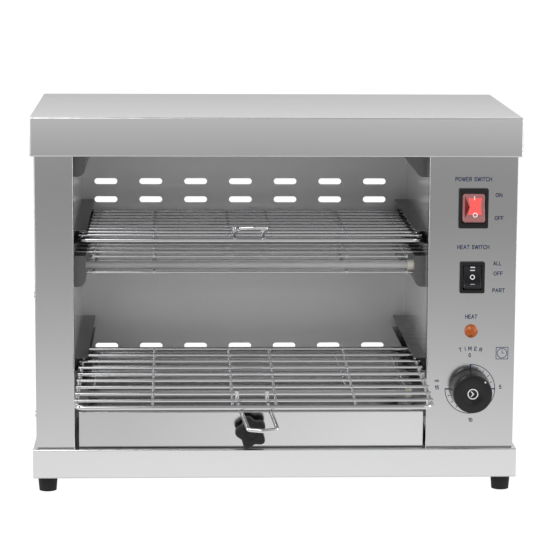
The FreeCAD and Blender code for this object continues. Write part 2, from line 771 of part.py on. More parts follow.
node("upper_rack", wire_rack("upper_rack_wires", UPPER_RACK_Z))
lower_rack = wire_rack("lower_rack_wires", LOWER_RACK_Z)
node("lower_rack", lower_rack)
tip_out(lower_rack)


# Rack handles: bent wire hooked under the first bar. The upper one runs over the frame wire and is
# level from there; the lower one hangs, straight, under the frame wire.


def wire_handle(name, skew, slope, rise=None):
    """Handle about its hook's middle, the first bar: arms slope down, or up to a rise, to the grip."""
    wire = sheet.get("handle_radius")
    hook = sheet.get("rack_bar_radius") + wire + sheet.get("hook_gap")
    half, tail = sheet.get("hook_half_span"), sheet.get("hook_tail")
    slope = math.radians(slope)
    reach, bow, grip = -sheet.get("handle_reach"), sheet.get("grip_bow"), sheet.get("grip_half_width")

    def arm_height(along):
        return (along * math.sin(slope) - hook) / math.cos(slope)

    def grip_height(along):
        return arm_height(along) if rise is None else rise

    def side(sign):
        points = [
            FreeCAD.Vector(sign * half, hook, tail), FreeCAD.Vector(sign * half, hook, arm_height(hook)),
        ]
        if rise is not None:
            elbow = (rise * math.cos(slope) + hook) / math.sin(slope)
            points.append(FreeCAD.Vector(sign * half, elbow, rise))
        return points + [FreeCAD.Vector(skew + sign * grip, reach, grip_height(reach))]

    middle = [FreeCAD.Vector(skew, reach - bow, grip_height(reach - bow))]
    elbow_bend = sheet.get("elbow_radius")
    start = [hook] if rise is None else [hook, elbow_bend]
    bends = start + [1.5 * wire, 2 * elbow_bend, 1.5 * wire] + start[::-1]
    return bent_rod(name, side(1) + middle + side(-1)[::-1], bends, wire)


upper_handle = wire_handle(
    "upper_handle_wire", sheet.get("upper_handle_skew"), -sheet.get("hook_slope"),
    sheet.get("handle_rise")
)
lower_handle = wire_handle(
    "lower_handle_wire", sheet.get("lower_handle_skew"), sheet.get("lower_arm_slope")
)
node("upper_rack_handle", upper_handle)
bind(upper_handle, "Placement", (
    f"placement(vector({CAVITY_MIDDLE}+handle_offset; {ORIGIN_SHIFT}+{FIRST_BAR_Y};"
    f" {UPPER_RACK_Z}+rack_rise); rotation(vector(1; 0; 0); -upper_handle_lift))"
))
node("lower_rack_handle", lower_handle)
LOW_HOOK_ALONG = f"({FIRST_BAR_Y}-{AXIS_Y})"
LOW_HOOK_UP = "(tip_radius+rack_rise)"
LOW_HOOK_Y = f"({AXIS_Y}+{LOW_HOOK_ALONG}*{OUT_COS}-{LOW_HOOK_UP}*{OUT_SIN})"
LOW_HOOK_Z = f"({AXIS_Z}+{LOW_HOOK_ALONG}*{OUT_SIN}+{LOW_HOOK_UP}*{OUT_COS})"
bind(lower_handle, "Placement", (
    f"placement(vector({CAVITY_MIDDLE}+handle_offset; {ORIGIN_SHIFT}+{LOW_HOOK_Y};"
    f" {LOW_HOOK_Z}); rotation(vector(1; 0; 0); tip_angle))"
))


# Heating levels: a folded bracket on each wall holds two quartz tubes and the wire guards

BRACKET_ALONG = ("-bracket_front", "-bracket_front+bracket_length")
GUARD_BARS = 7
GUARD_BAR_START = f"(-guard_front+(guard_depth-{GUARD_BARS - 1}*guard_pitch)/2)"
LOWER_GUARD_Z = "(middle_bracket_bottom+lower_guard_lift-guard_bar_radius-guard_rib_radius)"
TOP_GUARD_Z = f"({CEILING}-top_guard_drop)"
GUARD_BAR_LINES = [f"{GUARD_BAR_START}+{index}*guard_pitch" for index in range(GUARD_BARS)]
HUNG_GUARDS = {"middle": LOWER_GUARD_Z, "top": TOP_GUARD_Z}


def bracket_solid(name, side, wall, bottom, height, inset):
    """Bar with a rounded lower inner edge; inset draws in every face but the one on the wall."""
    inner = f"({wall}-{side}*(bracket_depth-{inset}))"
    round_line = f"({wall}-{side}*(bracket_depth-bracket_corner))"
    step = f"({bottom}+bracket_corner)"
    along = (f"{BRACKET_ALONG[0]}+{inset}", f"{BRACKET_ALONG[1]}-{inset}")

    def pair(first, second):
        return (first, second) if side > 0 else (second, first)

    rounded = fused(f"{name}_rounded", [
        box(f"{name}_upper", pair(inner, wall), along, (step, f"{bottom}+{height}-{inset}")),
        box(f"{name}_lower", pair(round_line, wall), along, (f"{bottom}+{inset}", step)),
        rod(f"{name}_round", "y", (round_line, step), along, f"bracket_corner-{inset}"),
    ])
    clipped = doc.addObject("Part::Common", name)
    clipped.Base = rounded
    clipped.Tool = box(f"{name}_limit", pair(inner, wall), along, (bottom, f"{bottom}+{height}"))
    return clipped


def tube_ends(word):
    """Inner and outer ends of the tube caps on one side, as offsets in x."""
    if word == "left":
        inner = f"({WALL_LEFT}+bracket_depth+left_cap_showing)"
        return inner, f"({inner}-cap_length)"
    inner = f"({WALL_RIGHT}-bracket_depth-right_cap_showing)"
    return inner, f"({inner}+cap_length)"


pins = []
caps = []
for level, (bottom, height, tube_height) in LEVELS.items():
    for side, word, wall in ((-1, "left", WALL_LEFT), (1, "right", WALL_RIGHT)):
        name = f"{level}_{word}_bracket"
        inner, outer = tube_ends(word)
        web = f"({wall}-{side}*bracket_depth)"
        through_web = (f"{web}-2*sheet", f"{web}+2*sheet")
        tools = [bracket_solid(f"{name}_hollow", side, wall, bottom, height, "sheet")]
        for row, along in TUBE_ROWS.items():
            place = (along, tube_height)
            tools.append(pin_hole(f"{name}_hole_{row}", "x", place, through_web, "cap_radius"))
            span = (outer, inner) if word == "left" else (inner, outer)
            cap = rod(f"{name}_cap_{row}", "x", place, span, "cap_radius")
            socket_end = f"({inner}-{side}*(-cap_socket))"
            socket = (socket_end, inner) if word == "left" else (inner, socket_end)
            caps.append(cut(f"{name}_cap_bored_{row}", cap, [
                rod(f"{name}_socket_{row}", "x", place, socket, "tube_radius+shaft_fit"),
            ]))
            pin_end = f"({outer}+{side}*pin_length)"
            pin_span = (pin_end, outer) if word == "left" else (outer, pin_end)
            pins.append(rod(f"{name}_pin_{row}", "x", place, pin_span, "pin_radius"))
        if level in HUNG_GUARDS:
            tools += [
                pin_hole(f"{name}_bar_hole_{index}", "x", (along, HUNG_GUARDS[level]), through_web,
                         "guard_bar_radius")
                for index, along in enumerate(GUARD_BAR_LINES)
            ]
        shell = bracket_solid(f"{name}_shell", side, wall, bottom, height, NOUGHT)
        node(name, cut(f"{name}_cut", shell, tools))
    left_end = f"({tube_ends('left')[0]}-cap_socket)"
    right_end = f"({tube_ends('right')[0]}+cap_socket)"
    tubes = []
    for row, along in TUBE_ROWS.items():
        place = (along, tube_height)
        glass = rod(f"{level}_glass_{row}", "x", place, (left_end, right_end), "tube_radius")
        bore = rod(f"{level}_bore_{row}", "x", place, (left_end, right_end), "tube_radius-tube_wall")
        tubes.append(cut(f"{level}_tube_{row}", glass, [bore]))
    node(f"{level}_heating_tubes", group(f"{level}_tube_pair", tubes))
node("tube_caps", group("cap_set", caps))
node("tube_pins", group("pin_set", pins))
node("heating_coils", group("coil_set", [
    rod(f"coil_{index}", "x", place, (left_end, right_end), "coil_radius")
    for index, place in enumerate(TUBE_PLACES)
]))


# Wire guards over and under the tubes


def wire_guard(name, bar_height, above, reach):
    """Bars across the cavity on a ring of ribs; above is 1 with the ribs below the bars, else -1."""
    rib_height = f"({bar_height}-{above}*(guard_bar_radius+guard_rib_radius-guard_weld))"
    wires = [
        rod(f"{name}_bar_{index}", "x", (along, bar_height),
            (f"{WALL_LEFT}+{reach}", f"{WALL_RIGHT}-{reach}"), "guard_bar_radius")
        for index, along in enumerate(GUARD_BAR_LINES)
    ]
    ring_half = f"({WALL_RIGHT}-{CAVITY_MIDDLE}-bracket_depth-guard_rib_inset)"
    for index, offset in enumerate((f"-{ring_half}", "-outer_rib_offset", "outer_rib_offset", ring_half)):
        wires.append(rod(
            f"{name}_rib_{index}", "y", (f"{CAVITY_MIDDLE}+{offset}", rib_height),
            ("-guard_front-guard_rib_radius", "-guard_front+guard_depth+guard_rib_radius"),
            "guard_rib_radius",
        ))
    for index, along in enumerate(("-guard_front", "-guard_front+guard_depth")):
        wires.append(rod(
            f"{name}_ring_{index}", "x", (along, rib_height),
            (f"{CAVITY_MIDDLE}-{ring_half}", f"{CAVITY_MIDDLE}+{ring_half}"), "guard_bar_radius",
        ))
    return fused(name, wires)


BAR_SEAT = "(bracket_height+guard_bar_radius+guard_seat)"
node("low_guard", wire_guard("low_guard_wires", f"(low_bracket_bottom+{BAR_SEAT})", 1, "1"))
node("middle_upper_guard", wire_guard(
    "middle_upper_wires", f"(middle_bracket_bottom+{BAR_SEAT})", 1, "1"
))
node("middle_lower_guard", wire_guard("middle_lower_wires", LOWER_GUARD_Z, -1, "bracket_depth/2"))
node("top_guard", wire_guard("top_wires", TOP_GUARD_Z, -1, "bracket_depth/2"))


# Crumb tray with its star knob and stud

TRAY_LEFT = f"({OPENING_LEFT}+tray_left_gap)"
TRAY_RIGHT = f"({OPENING_RIGHT}-tray_right_gap)"
TRAY_WIDTH = (TRAY_LEFT, TRAY_RIGHT)
TRAY_BOTTOM = f"({BASE_TOP}+tray_clearance)"
TRAY_TOP = f"({TRAY_BOTTOM}+tray_front_height)"
TRAY_FRONT = f"({BODY_FRONT}+tray_set_back)"
TRAY_BACK = f"({REAR_WALL}-tray_back_gap)"
TRAY_DEPTH = (TRAY_FRONT, TRAY_BACK)
TRAY_WALL = (TRAY_BOTTOM, f"{TRAY_BOTTOM}+tray_side_height")
tray_folded = fused("tray_folded", [
    box("tray_floor", TRAY_WIDTH, TRAY_DEPTH, (TRAY_BOTTOM, f"{TRAY_BOTTOM}+sheet")),
    box("tray_front", TRAY_WIDTH, (TRAY_FRONT, f"{TRAY_FRONT}+sheet"), (TRAY_BOTTOM, TRAY_TOP)),
    box("tray_front_fold", TRAY_WIDTH, (TRAY_FRONT, f"{TRAY_FRONT}+tray_fold"),
        (f"{TRAY_TOP}-sheet", TRAY_TOP)),
    box("tray_left_side", (TRAY_LEFT, f"{TRAY_LEFT}+sheet"), TRAY_DEPTH, TRAY_WALL),
    box("tray_right_side", (f"{TRAY_RIGHT}-sheet", TRAY_RIGHT), TRAY_DEPTH, TRAY_WALL),
    box("tray_rear", TRAY_WIDTH, (f"{TRAY_BACK}-sheet", TRAY_BACK), TRAY_WALL),
])
STAR_PLACE = (CAVITY_MIDDLE, "tray_knob_height")
stud_hole = pin_hole("stud_hole", "y", STAR_PLACE, (f"{TRAY_FRONT}-1", f"{TRAY_FRONT}+2*sheet"),
                     "stud_radius")
tray_edge = cove("tray_edge", "x", (TRAY_FRONT, TRAY_TOP), (1, -1),
                 (f"{TRAY_LEFT}-1", f"{TRAY_RIGHT}+1"), "fold_radius")
node("crumb_tray", cut("tray_drilled", tray_folded, [stud_hole, tray_edge]))

NECK_FRONT = f"({TRAY_FRONT}-knob_neck_length)"
STAR_FRONT = f"({NECK_FRONT}-star_length)"
star_pieces = [
    rod("star_neck", "y", STAR_PLACE, (NECK_FRONT, TRAY_FRONT), "knob_neck_radius"),
    rod("star_hub", "y", STAR_PLACE, (STAR_FRONT, NECK_FRONT), "star_waist"),
    rod("star_cap", "y", STAR_PLACE, (f"{STAR_FRONT}-star_cap_rise", STAR_FRONT), "star_cap_radius"),
]
LOBES = 5
lobe_line = "(star_radius-star_lobe_radius)"
for lobe in range(LOBES):
    turn = f"(star_turn+{360 / LOBES * lobe})"
    place = (f"{CAVITY_MIDDLE}+{lobe_line}*cos{turn}", f"tray_knob_height+{lobe_line}*sin{turn}")
    star_pieces.append(
        rod(f"star_lobe_{lobe}", "y", place, (STAR_FRONT, NECK_FRONT), "star_lobe_radius")
    )
stud_span = (f"{TRAY_FRONT}-stud_depth", f"{TRAY_FRONT}+sheet")
star_bore = rod("star_bore", "y", STAR_PLACE, stud_span, "stud_radius+shaft_fit")
node("tray_knob", cut("star_bored", fused("star", star_pieces), [star_bore]))
node("tray_knob_stud", fused("stud", [
    rod("stud_shank", "y", STAR_PLACE, stud_span, "stud_radius"),
    rod("stud_head", "y", STAR_PLACE, (f"{TRAY_FRONT}+sheet", f"{TRAY_FRONT}+sheet+stud_head_height"),
        "stud_head_radius"),
]))


# Control panel and its switches

SWITCHES = {
    "power": ("power_height", "power_width", "power_tall", "power_bezel_end", "power_rock", 4),
    "heat": ("heat_height", "heat_width", "heat_tall", "heat_bezel_end", "heat_rock", 6),
}
BLADE_SPREAD = 0.7
panel_cuts = []
blade_set = []
for name, (height, width, tall, border, rock, blades) in SWITCHES.items():
    body_half = f"({width}/2-bezel_lap)"
    body_tall = f"({tall}/2-bezel_lap)"
    mouth_half = f"({width}/2-bezel_side)"
    mouth_tall = f"({tall}/2-{border})"
    switch_back = f"({BODY_FRONT}+switch_depth)"
    bezel_front = f"({BODY_FRONT}-bezel_thickness)"
    pivot_y = f"({BODY_FRONT}+rocker_pivot)"
    panel_cuts.append(box(
        f"{name}_panel_hole",
        (f"{CONTROLS}-{body_half}-hole_clearance", f"{CONTROLS}+{body_half}+hole_clearance"),
        (f"{BODY_FRONT}-1", f"{BODY_FRONT}+1"),
        (f"{height}-{body_tall}-hole_clearance", f"{height}+{body_tall}+hole_clearance"),
    ))
    bezel = box(f"{name}_bezel", (f"{CONTROLS}-{width}/2", f"{CONTROLS}+{width}/2"),
                (bezel_front, BODY_FRONT), (f"{height}-{tall}/2", f"{height}+{tall}/2"))
    casing = box(f"{name}_casing", (f"{CONTROLS}-{body_half}", f"{CONTROLS}+{body_half}"),
                 (BODY_FRONT, switch_back), (f"{height}-{body_tall}", f"{height}+{body_tall}"))
    mouth = box(f"{name}_mouth", (f"{CONTROLS}-{mouth_half}", f"{CONTROLS}+{mouth_half}"),
                (f"{bezel_front}-1", f"{BODY_FRONT}+switch_floor"),
                (f"{height}-{mouth_tall}", f"{height}+{mouth_tall}"))
    pin_half = f"({mouth_half}+pin_seat)"
    pin_bore = rod(f"{name}_pin_bore", "x", (pivot_y, height),
                   (f"{CONTROLS}-{pin_half}-rocker_gap", f"{CONTROLS}+{pin_half}+rocker_gap"),
                   "rocker_pin_radius+rocker_pin_fit")
    corners = [
        cove(f"{name}_bezel_corner_{side + 1}{end + 1}", "y",
             (f"{CONTROLS}+{side}*{width}/2", f"{height}+{end}*{tall}/2"), (-side, -end),
             (f"{bezel_front}-1", BODY_FRONT), "bezel_corner")
        for side in (-1, 1) for end in (-1, 1)
    ]
    node(f"{name}_switch_body", cut(
        f"{name}_switch_cut", fused(f"{name}_switch_solid", [bezel, casing]),
        [mouth, pin_bore] + corners
    ))

    face = "(-bezel_thickness-rocker_proud-rocker_pivot)"
    half = f"({mouth_tall}-rocker_gap)"
    lever = padded(f"{name}_lever", "YZ_Plane", [
        (face, f"{half}-rocker_taper"), (f"{face}+rocker_dish", NOUGHT),
        (face, f"-{half}+rocker_taper"), (NOUGHT, f"-{half}"), ("2*rocker_pivot", f"-{half}"),
        ("rocker_body-rocker_pivot", f"-{half}/3"), ("rocker_body-rocker_pivot", f"{half}/3"),
        ("2*rocker_pivot", half), (NOUGHT, half),
    ], f"2*({mouth_half}-rocker_gap)", (f"-({mouth_half}-rocker_gap)", "0", "0"))
    rocker_pin = rod(f"{name}_rocker_pin", "x", (NOUGHT, NOUGHT), (f"-{pin_half}", pin_half),
                     "rocker_pin_radius")
    rocker = node(f"{name}_rocker", fused(f"{name}_rocker_solid", [lever, rocker_pin]))
    bind(rocker, "Placement", (
        f"placement(vector({CONTROLS}; {ORIGIN_SHIFT}+{pivot_y}; {height});"
        f" rotation(vector(1; 0; 0); -{rock}))"
    ))
    for index in range(blades):
        column, row = index % 2, index // 2
        x_middle = f"({CONTROLS}+{(column - 0.5)}*{body_half})"
        z_middle = f"({height}+({row}-({blades}/2-1)/2)*{body_tall}*{BLADE_SPREAD})"
        blade_set.append(box(
            f"{name}_blade_{index}",
            (f"{x_middle}-terminal_width/2", f"{x_middle}+terminal_width/2"),
            (switch_back, f"{switch_back}+terminal_length"),
            (f"{z_middle}-terminal_thickness/2", f"{z_middle}+terminal_thickness/2"),
        ))
node("switch_terminals", group("blade_group", blade_set))

LAMP_PLACE = (CONTROLS, "lamp_height")
# The lens curve as shares of its radius and of its rise
LENS_CURVE = ((0.45, 0.92), (0.8, 0.64), (1, 0.28))
lens = turned("lamp_lens_dome", [
    (NOUGHT, "-lamp_dome"),
    *[(f"lamp_radius*{out}", f"-lamp_dome*{rise}") for out, rise in LENS_CURVE],
    ("lamp_radius", NOUGHT), (NOUGHT, NOUGHT),
], (CONTROLS, "0", "lamp_height"))
node("lamp_lens", lens, BODY_FRONT)
node("lamp_body", fused("lamp_holder", [
    rod("lamp_barrel", "y", LAMP_PLACE, (BODY_FRONT, f"{BODY_FRONT}+lamp_body_length"),
        "lamp_body_radius"),
    rod("lamp_nut", "y", LAMP_PLACE, (FRONT_SHEET_BACK, f"{FRONT_SHEET_BACK}+gland_nut_height"),
        "lamp_radius+1"),
]))
panel_cuts.append(pin_hole("lamp_hole", "y", LAMP_PLACE, (f"{BODY_FRONT}-1", f"{BODY_FRONT}+1"),
                           "lamp_body_radius"))

TIMER_PLACE = (CONTROLS, "timer_height")
timer_case = box(
    "timer_case",
    (f"{CONTROLS}-timer_side/2", f"{CONTROLS}+timer_side/2"),
    (FRONT_SHEET_BACK, f"{FRONT_SHEET_BACK}+timer_depth"),
    ("timer_height-timer_side/2", "timer_height+timer_side/2"),
)
shaft_span = (f"{BODY_FRONT}-timer_knob_gap-shaft_socket", f"{FRONT_SHEET_BACK}+timer_depth*0.7")
timer_bore = rod("timer_bore", "y", TIMER_PLACE,
                 (f"{BODY_FRONT}-1", f"{FRONT_SHEET_BACK}+timer_depth*0.7+shaft_end_gap"),
                 "shaft_radius+shaft_fit")
node("timer_body", cut("timer_case_bored", timer_case, [timer_bore]))
node("timer_shaft", group("timer_shaft_rod", [
    rod("timer_rod", "y", TIMER_PLACE, shaft_span, "shaft_radius"),
]))
panel_cuts.append(rod("shaft_hole", "y", TIMER_PLACE, (f"{BODY_FRONT}-1", f"{BODY_FRONT}+1"),
                      "shaft_radius+1"))
KNOB_FRONT = "(-timer_knob_gap-timer_knob_length)"
knob = turned("timer_knob_solid", [
    (NOUGHT, f"{KNOB_FRONT}+timer_recess_depth"),
    ("timer_recess_radius-timer_recess_depth", f"{KNOB_FRONT}+timer_recess_depth"),
    ("timer_recess_radius", KNOB_FRONT), ("timer_face_radius-knob_edge", KNOB_FRONT),
    ("timer_face_radius", f"{KNOB_FRONT}+knob_edge"),
    ("timer_knob_radius", "-timer_knob_gap-knob_edge"), ("timer_knob_radius", "-timer_knob_gap"),
    (NOUGHT, "-timer_knob_gap"),
], (CONTROLS, BODY_FRONT, "timer_height"))
knob_bore = rod("knob_bore", "y", TIMER_PLACE, (f"{BODY_FRONT}-timer_knob_gap-shaft_socket", BODY_FRONT),
                "shaft_radius+shaft_fit/5")
node("timer_knob", cut("timer_knob_bored", knob, [knob_bore]))

panel_sheet = fused("panel_sheet", [
    box("panel_front", (OPENING_RIGHT, SIDE), (BODY_FRONT, FRONT_SHEET_BACK), CABINET_RISE),
    box("panel_return", (OPENING_RIGHT, WALL_RIGHT), (BODY_FRONT, f"{BODY_FRONT}+return_flange"),
        RETURN_RISE),
])
panel_cuts += [
    cove("panel_inner_fold", "z", (OPENING_RIGHT, BODY_FRONT), (1, 1), ROUNDED_RISE, "fold_radius"),
    cove("panel_outer_edge", "z", (SIDE, BODY_FRONT), (-1, 1), ROUNDED_RISE, "sheet"),
]
node("control_panel", cut("panel_cut", panel_sheet, panel_cuts))


# Terminal block, leads and the cable gland, which stays empty

BLOCK_TOP = f"({BASE_TOP}+block_height)"
BLOCK_BACK = f"({REAR_WALL}-block_back)"
block = box("block", (f"{CONTROLS}-block_length/2", f"{CONTROLS}+block_length/2"),
            (f"{BLOCK_BACK}-block_width", BLOCK_BACK), (BASE_TOP, BLOCK_TOP))
LEAD_LINE = f"({BLOCK_BACK}-block_width/2)"
LEADS = {
    "power_lead": ("-(power_width/2-bezel_lap)/2",
                   f"power_height-{BLADE_SPREAD}/2*(power_tall/2-bezel_lap)",
                   "switch_depth+terminal_length"),
    "heat_lead": ("(heat_width/2-bezel_lap)/2", "heat_height", "switch_depth+terminal_length"),
    "lamp_lead": (NOUGHT, "lamp_height", "lamp_body_length"),
}
block_wells = []
leads = []
for name, (offset, height, depth) in LEADS.items():
    block_wells.append(rod(
        f"{name}_well", "z", (f"{CONTROLS}+{offset}", LEAD_LINE),
        (f"{BLOCK_TOP}-block_height/4", f"{BLOCK_TOP}+1"), "lead_radius+hole_clearance",
    ))
    across, rear_line, up = number(f"{CONTROLS}+{offset}"), number(LEAD_LINE), number(height)
    leads.append(bent_rod(name, [
        FreeCAD.Vector(across, rear_line, number(f"{BLOCK_TOP}-block_height/4")),
        FreeCAD.Vector(across, rear_line, up),
        FreeCAD.Vector(across, number(f"{BODY_FRONT}+{depth}"), up),
    ], [number("lead_bend")], number("lead_radius")))
node("terminal_block", cut("block_bored", block, block_wells))
node("leads", group("lead_set", leads))

GLAND_PLACE = (CONTROLS, "gland_height")
gland = fused("gland_solid", [
    rod("gland_collar", "y", GLAND_PLACE, (BODY_BACK, f"{BODY_BACK}+gland_flange"), "gland_radius"),
    rod("gland_dome", "y", GLAND_PLACE, (f"{BODY_BACK}+gland_flange", REAR_REACH),
        "gland_radius-1.5", "gland_thread_radius-1.5"),
    rod("gland_thread", "y", GLAND_PLACE, (f"{REAR_WALL}-gland_in", BODY_BACK), "gland_thread_radius"),
])
gland_bore = rod("gland_bore", "y", GLAND_PLACE, (f"{REAR_WALL}-gland_in-1", f"{REAR_REACH}+1"),
                 "gland_bore_radius")
node("cable_gland", cut("gland_bored", gland, [gland_bore]))
gland_nut = rod("gland_nut_blank", "y", GLAND_PLACE, (f"{REAR_WALL}-gland_nut_height", REAR_WALL),
                "gland_radius")
gland_nut_bore = rod("gland_nut_bore", "y", GLAND_PLACE,
                     (f"{REAR_WALL}-gland_nut_height-1", f"{REAR_WALL}+1"),
                     "gland_thread_radius+shaft_fit")
node("gland_nut", cut("gland_nut_bored", gland_nut, [gland_nut_bore]))


# Check everything, then write one file for each sub-part

doc.removeObject(probe.Name)
doc.recompute()
for thing in doc.Objects:
    bad = [state for state in thing.State if state in ("Invalid", "Error")]
    if bad:
        raise RuntimeError(f"{thing.Name} is {bad}")
for part in nodes:
    if part.Shape.isNull() or not part.Shape.isValid():
        raise RuntimeError(f"{part.Label} has no valid shape")
os.makedirs("parts", exist_ok=True)
for part in nodes:
    part.Shape.exportStep(f"parts/{part.Label}.step")
    bounds = part.Shape.BoundBox
    print(f"{part.Label}: {len(part.Shape.Solids)} solids, {part.Shape.Volume:.0f} mm3,"
          f" x {bounds.XMin:.1f} to {bounds.XMax:.1f}, y {bounds.YMin:.1f} to {bounds.YMax:.1f},"
          f" z {bounds.ZMin:.1f} to {bounds.ZMax:.1f}")
print(len(nodes), "sub-parts")
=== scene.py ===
# %% [markdown]
# # A counter toaster with two wire racks
#
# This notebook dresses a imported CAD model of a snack-bar toaster. The model already has every sheet,
# wire and screw in its place. What is left for Blender is the look: brushed steel, chrome wire, quartz
# tubes, moulded switches, the printed panel, and a photographer's table around it all.
#
# Every object it returns sits at the origin with its shape already in place, so all the numbers below
# are metres in the model's own frame.

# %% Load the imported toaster
import math

import bmesh
import bpy
from mathutils import Matrix, Vector


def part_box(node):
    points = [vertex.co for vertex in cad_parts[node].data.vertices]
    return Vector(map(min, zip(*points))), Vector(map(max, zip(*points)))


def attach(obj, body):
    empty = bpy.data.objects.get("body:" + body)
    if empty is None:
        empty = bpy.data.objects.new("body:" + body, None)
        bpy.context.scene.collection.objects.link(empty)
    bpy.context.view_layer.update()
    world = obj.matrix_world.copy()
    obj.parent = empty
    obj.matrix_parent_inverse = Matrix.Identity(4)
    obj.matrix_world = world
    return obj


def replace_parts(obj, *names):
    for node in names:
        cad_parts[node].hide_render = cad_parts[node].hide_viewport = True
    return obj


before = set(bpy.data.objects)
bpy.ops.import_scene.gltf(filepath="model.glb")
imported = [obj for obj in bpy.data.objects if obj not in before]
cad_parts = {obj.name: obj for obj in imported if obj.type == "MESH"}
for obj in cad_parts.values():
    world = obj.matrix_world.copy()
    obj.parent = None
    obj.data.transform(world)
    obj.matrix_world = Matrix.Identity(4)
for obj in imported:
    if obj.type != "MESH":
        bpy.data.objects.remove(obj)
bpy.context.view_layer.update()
MM = 0.001

# %% [markdown]
# ## Camera
#
# The photograph looks at the front from a little above, and from slightly left of the middle. A long
# lens keeps the toaster's sides nearly parallel. The eye point and angles below were worked out from
# the straight edges of the cabinet, and the printed pixels let us compare corners with the photograph.

# %% Place the camera
CABINET_MIDDLE = sum(corner[1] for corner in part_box("hood")) / 2
EYE = Vector((-0.097, CABINET_MIDDLE - 2.485, 0.615))
TURN, DIP, ROLL = (math.radians(a) for a in (2.32, 9.44, -0.34))
FOCAL_PIXELS, FRAME_PIXELS = 2390, 550

forward = Vector((math.sin(TURN) * math.cos(DIP), math.cos(TURN) * math.cos(DIP), -math.sin(DIP)))
level_right = Vector((math.cos(TURN), -math.sin(TURN), 0))
right = Matrix.Rotation(ROLL, 3, forward) @ level_right
up = right.cross(forward)

lens = bpy.data.cameras.new("studio_camera")
lens.sensor_width = 36
lens.lens = FOCAL_PIXELS / FRAME_PIXELS * lens.sensor_width
camera = bpy.data.objects.new("studio_camera", lens)
camera.matrix_world = Matrix((right, up, -forward)).transposed().to_4x4()
camera.location = EYE
bpy.context.scene.collection.objects.link(camera)
bpy.context.scene.camera = camera


def pixel_of(x, y, z):
    """Column and row in the 550 pixel frame of a point given in metres."""
    ray = Vector((x, y, z)) - EYE
    away = ray.dot(forward)
    middle = FRAME_PIXELS / 2
    return (round(middle + FOCAL_PIXELS * ray.dot(right) / away, 1),
            round(middle - FOCAL_PIXELS * ray.dot(up) / away, 1))


for part in ("hood", "base_pan"):
    (left, near, low), (right_end, far, top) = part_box(part)
    print(part, "front corners:", pixel_of(left, near, top), pixel_of(right_end, near, low))

# %% [markdown]
# ## Table and backdrop
#
# Polished metal is only as good as what it mirrors, so the table matters as much as the lamps. It is a
# pale disc that is bright near the toaster and fades further off, the way a lit table does. The camera
# and clear quartz see it as plain white, and a part of its real shading stays in, so the toaster still
# has its soft shadow. That white is written a little above one, because the shading takes some away.

# %% Make the table
TABLE_RADIUS, POOL_REACH = 30.0, 12.0
PLAIN_WHITE, GLOW_SHARE = (1.13, 1.13, 1.13, 1), 0.86


def new_finish(name, colour=(0.8, 0.8, 0.8), roughness=0.5, metallic=0.0):
    """A new node material, with its shader ready for more nodes."""
    finish = bpy.data.materials.new(name)
    finish.use_nodes = True
    shader = finish.node_tree.nodes["Principled BSDF"]
    shader.inputs["Base Color"].default_value = (*colour, 1)
    shader.inputs["Roughness"].default_value = roughness
    shader.inputs["Metallic"].default_value = metallic
    return finish, shader


def ramp_node(tree, stops):
    """A colour ramp through (place, grey) stops."""
    ramp = tree.nodes.new("ShaderNodeValToRGB")
    while len(ramp.color_ramp.elements) < len(stops):
        ramp.color_ramp.elements.new(1.0)
    for element, (place, grey) in zip(ramp.color_ramp.elements, stops):
        element.position = place
        element.color = (grey, grey, grey, 1)
    return ramp


table_finish, table_shader = new_finish("table_white", (0.86, 0.86, 0.86), 0.8)
tree = table_finish.node_tree
rays = tree.nodes.new("ShaderNodeLightPath")
seen = tree.nodes.new("ShaderNodeMath")
seen.operation = "MAXIMUM"
tree.links.new(rays.outputs["Is Camera Ray"], seen.inputs[0])
tree.links.new(rays.outputs["Is Transmission Ray"], seen.inputs[1])
place = tree.nodes.new("ShaderNodeTexCoord")
reach = tree.nodes.new("ShaderNodeVectorMath")
reach.operation = "LENGTH"
tree.links.new(place.outputs["Object"], reach.inputs[0])
# painted pool of light: the table's brightness as metal mirrors it, brightest near the toaster
pool = ramp_node(tree, [(0.0, 1.0), (0.03, 0.92), (0.08, 0.64), (0.17, 0.38), (0.25, 0.46), (0.36, 0.72),
                        (1.0, 0.8)])
spread = tree.nodes.new("ShaderNodeMath")
spread.operation = "DIVIDE"
spread.inputs[1].default_value = POOL_REACH
tree.links.new(reach.outputs["Value"], spread.inputs[0])
tree.links.new(spread.outputs[0], pool.inputs["Fac"])
white = tree.nodes.new("ShaderNodeMix")
white.data_type = "RGBA"
tree.links.new(seen.outputs[0], white.inputs["Factor"])
tree.links.new(pool.outputs["Color"], white.inputs["A"])
white.inputs["B"].default_value = PLAIN_WHITE
glow = tree.nodes.new("ShaderNodeEmission")
tree.links.new(white.outputs["Result"], glow.inputs["Color"])
shown = tree.nodes.new("ShaderNodeMath")
shown.operation = "MAXIMUM"
tree.links.new(seen.outputs[0], shown.inputs[0])
tree.links.new(rays.outputs["Is Glossy Ray"], shown.inputs[1])
part_glow = tree.nodes.new("ShaderNodeMath")
part_glow.operation = "MULTIPLY"
part_glow.inputs[1].default_value = GLOW_SHARE
tree.links.new(shown.outputs[0], part_glow.inputs[0])
blend = tree.nodes.new("ShaderNodeMixShader")
tree.links.new(part_glow.outputs[0], blend.inputs[0])
tree.links.new(table_shader.outputs[0], blend.inputs[1])
tree.links.new(glow.outputs[0], blend.inputs[2])
tree.links.new(blend.outputs[0], tree.nodes["Material Output"].inputs["Surface"])

table_mesh = bpy.data.meshes.new("table")
disc = bmesh.new()
bmesh.ops.create_circle(disc, cap_ends=True, segments=96, radius=TABLE_RADIUS)
disc.to_mesh(table_mesh)
disc.free()
table_mesh.materials.append(table_finish)
table = bpy.data.objects.new("table", table_mesh)
table.location = (0, 0, -0.0004)
bpy.context.scene.collection.objects.link(table)
print("table radius in m:", TABLE_RADIUS)

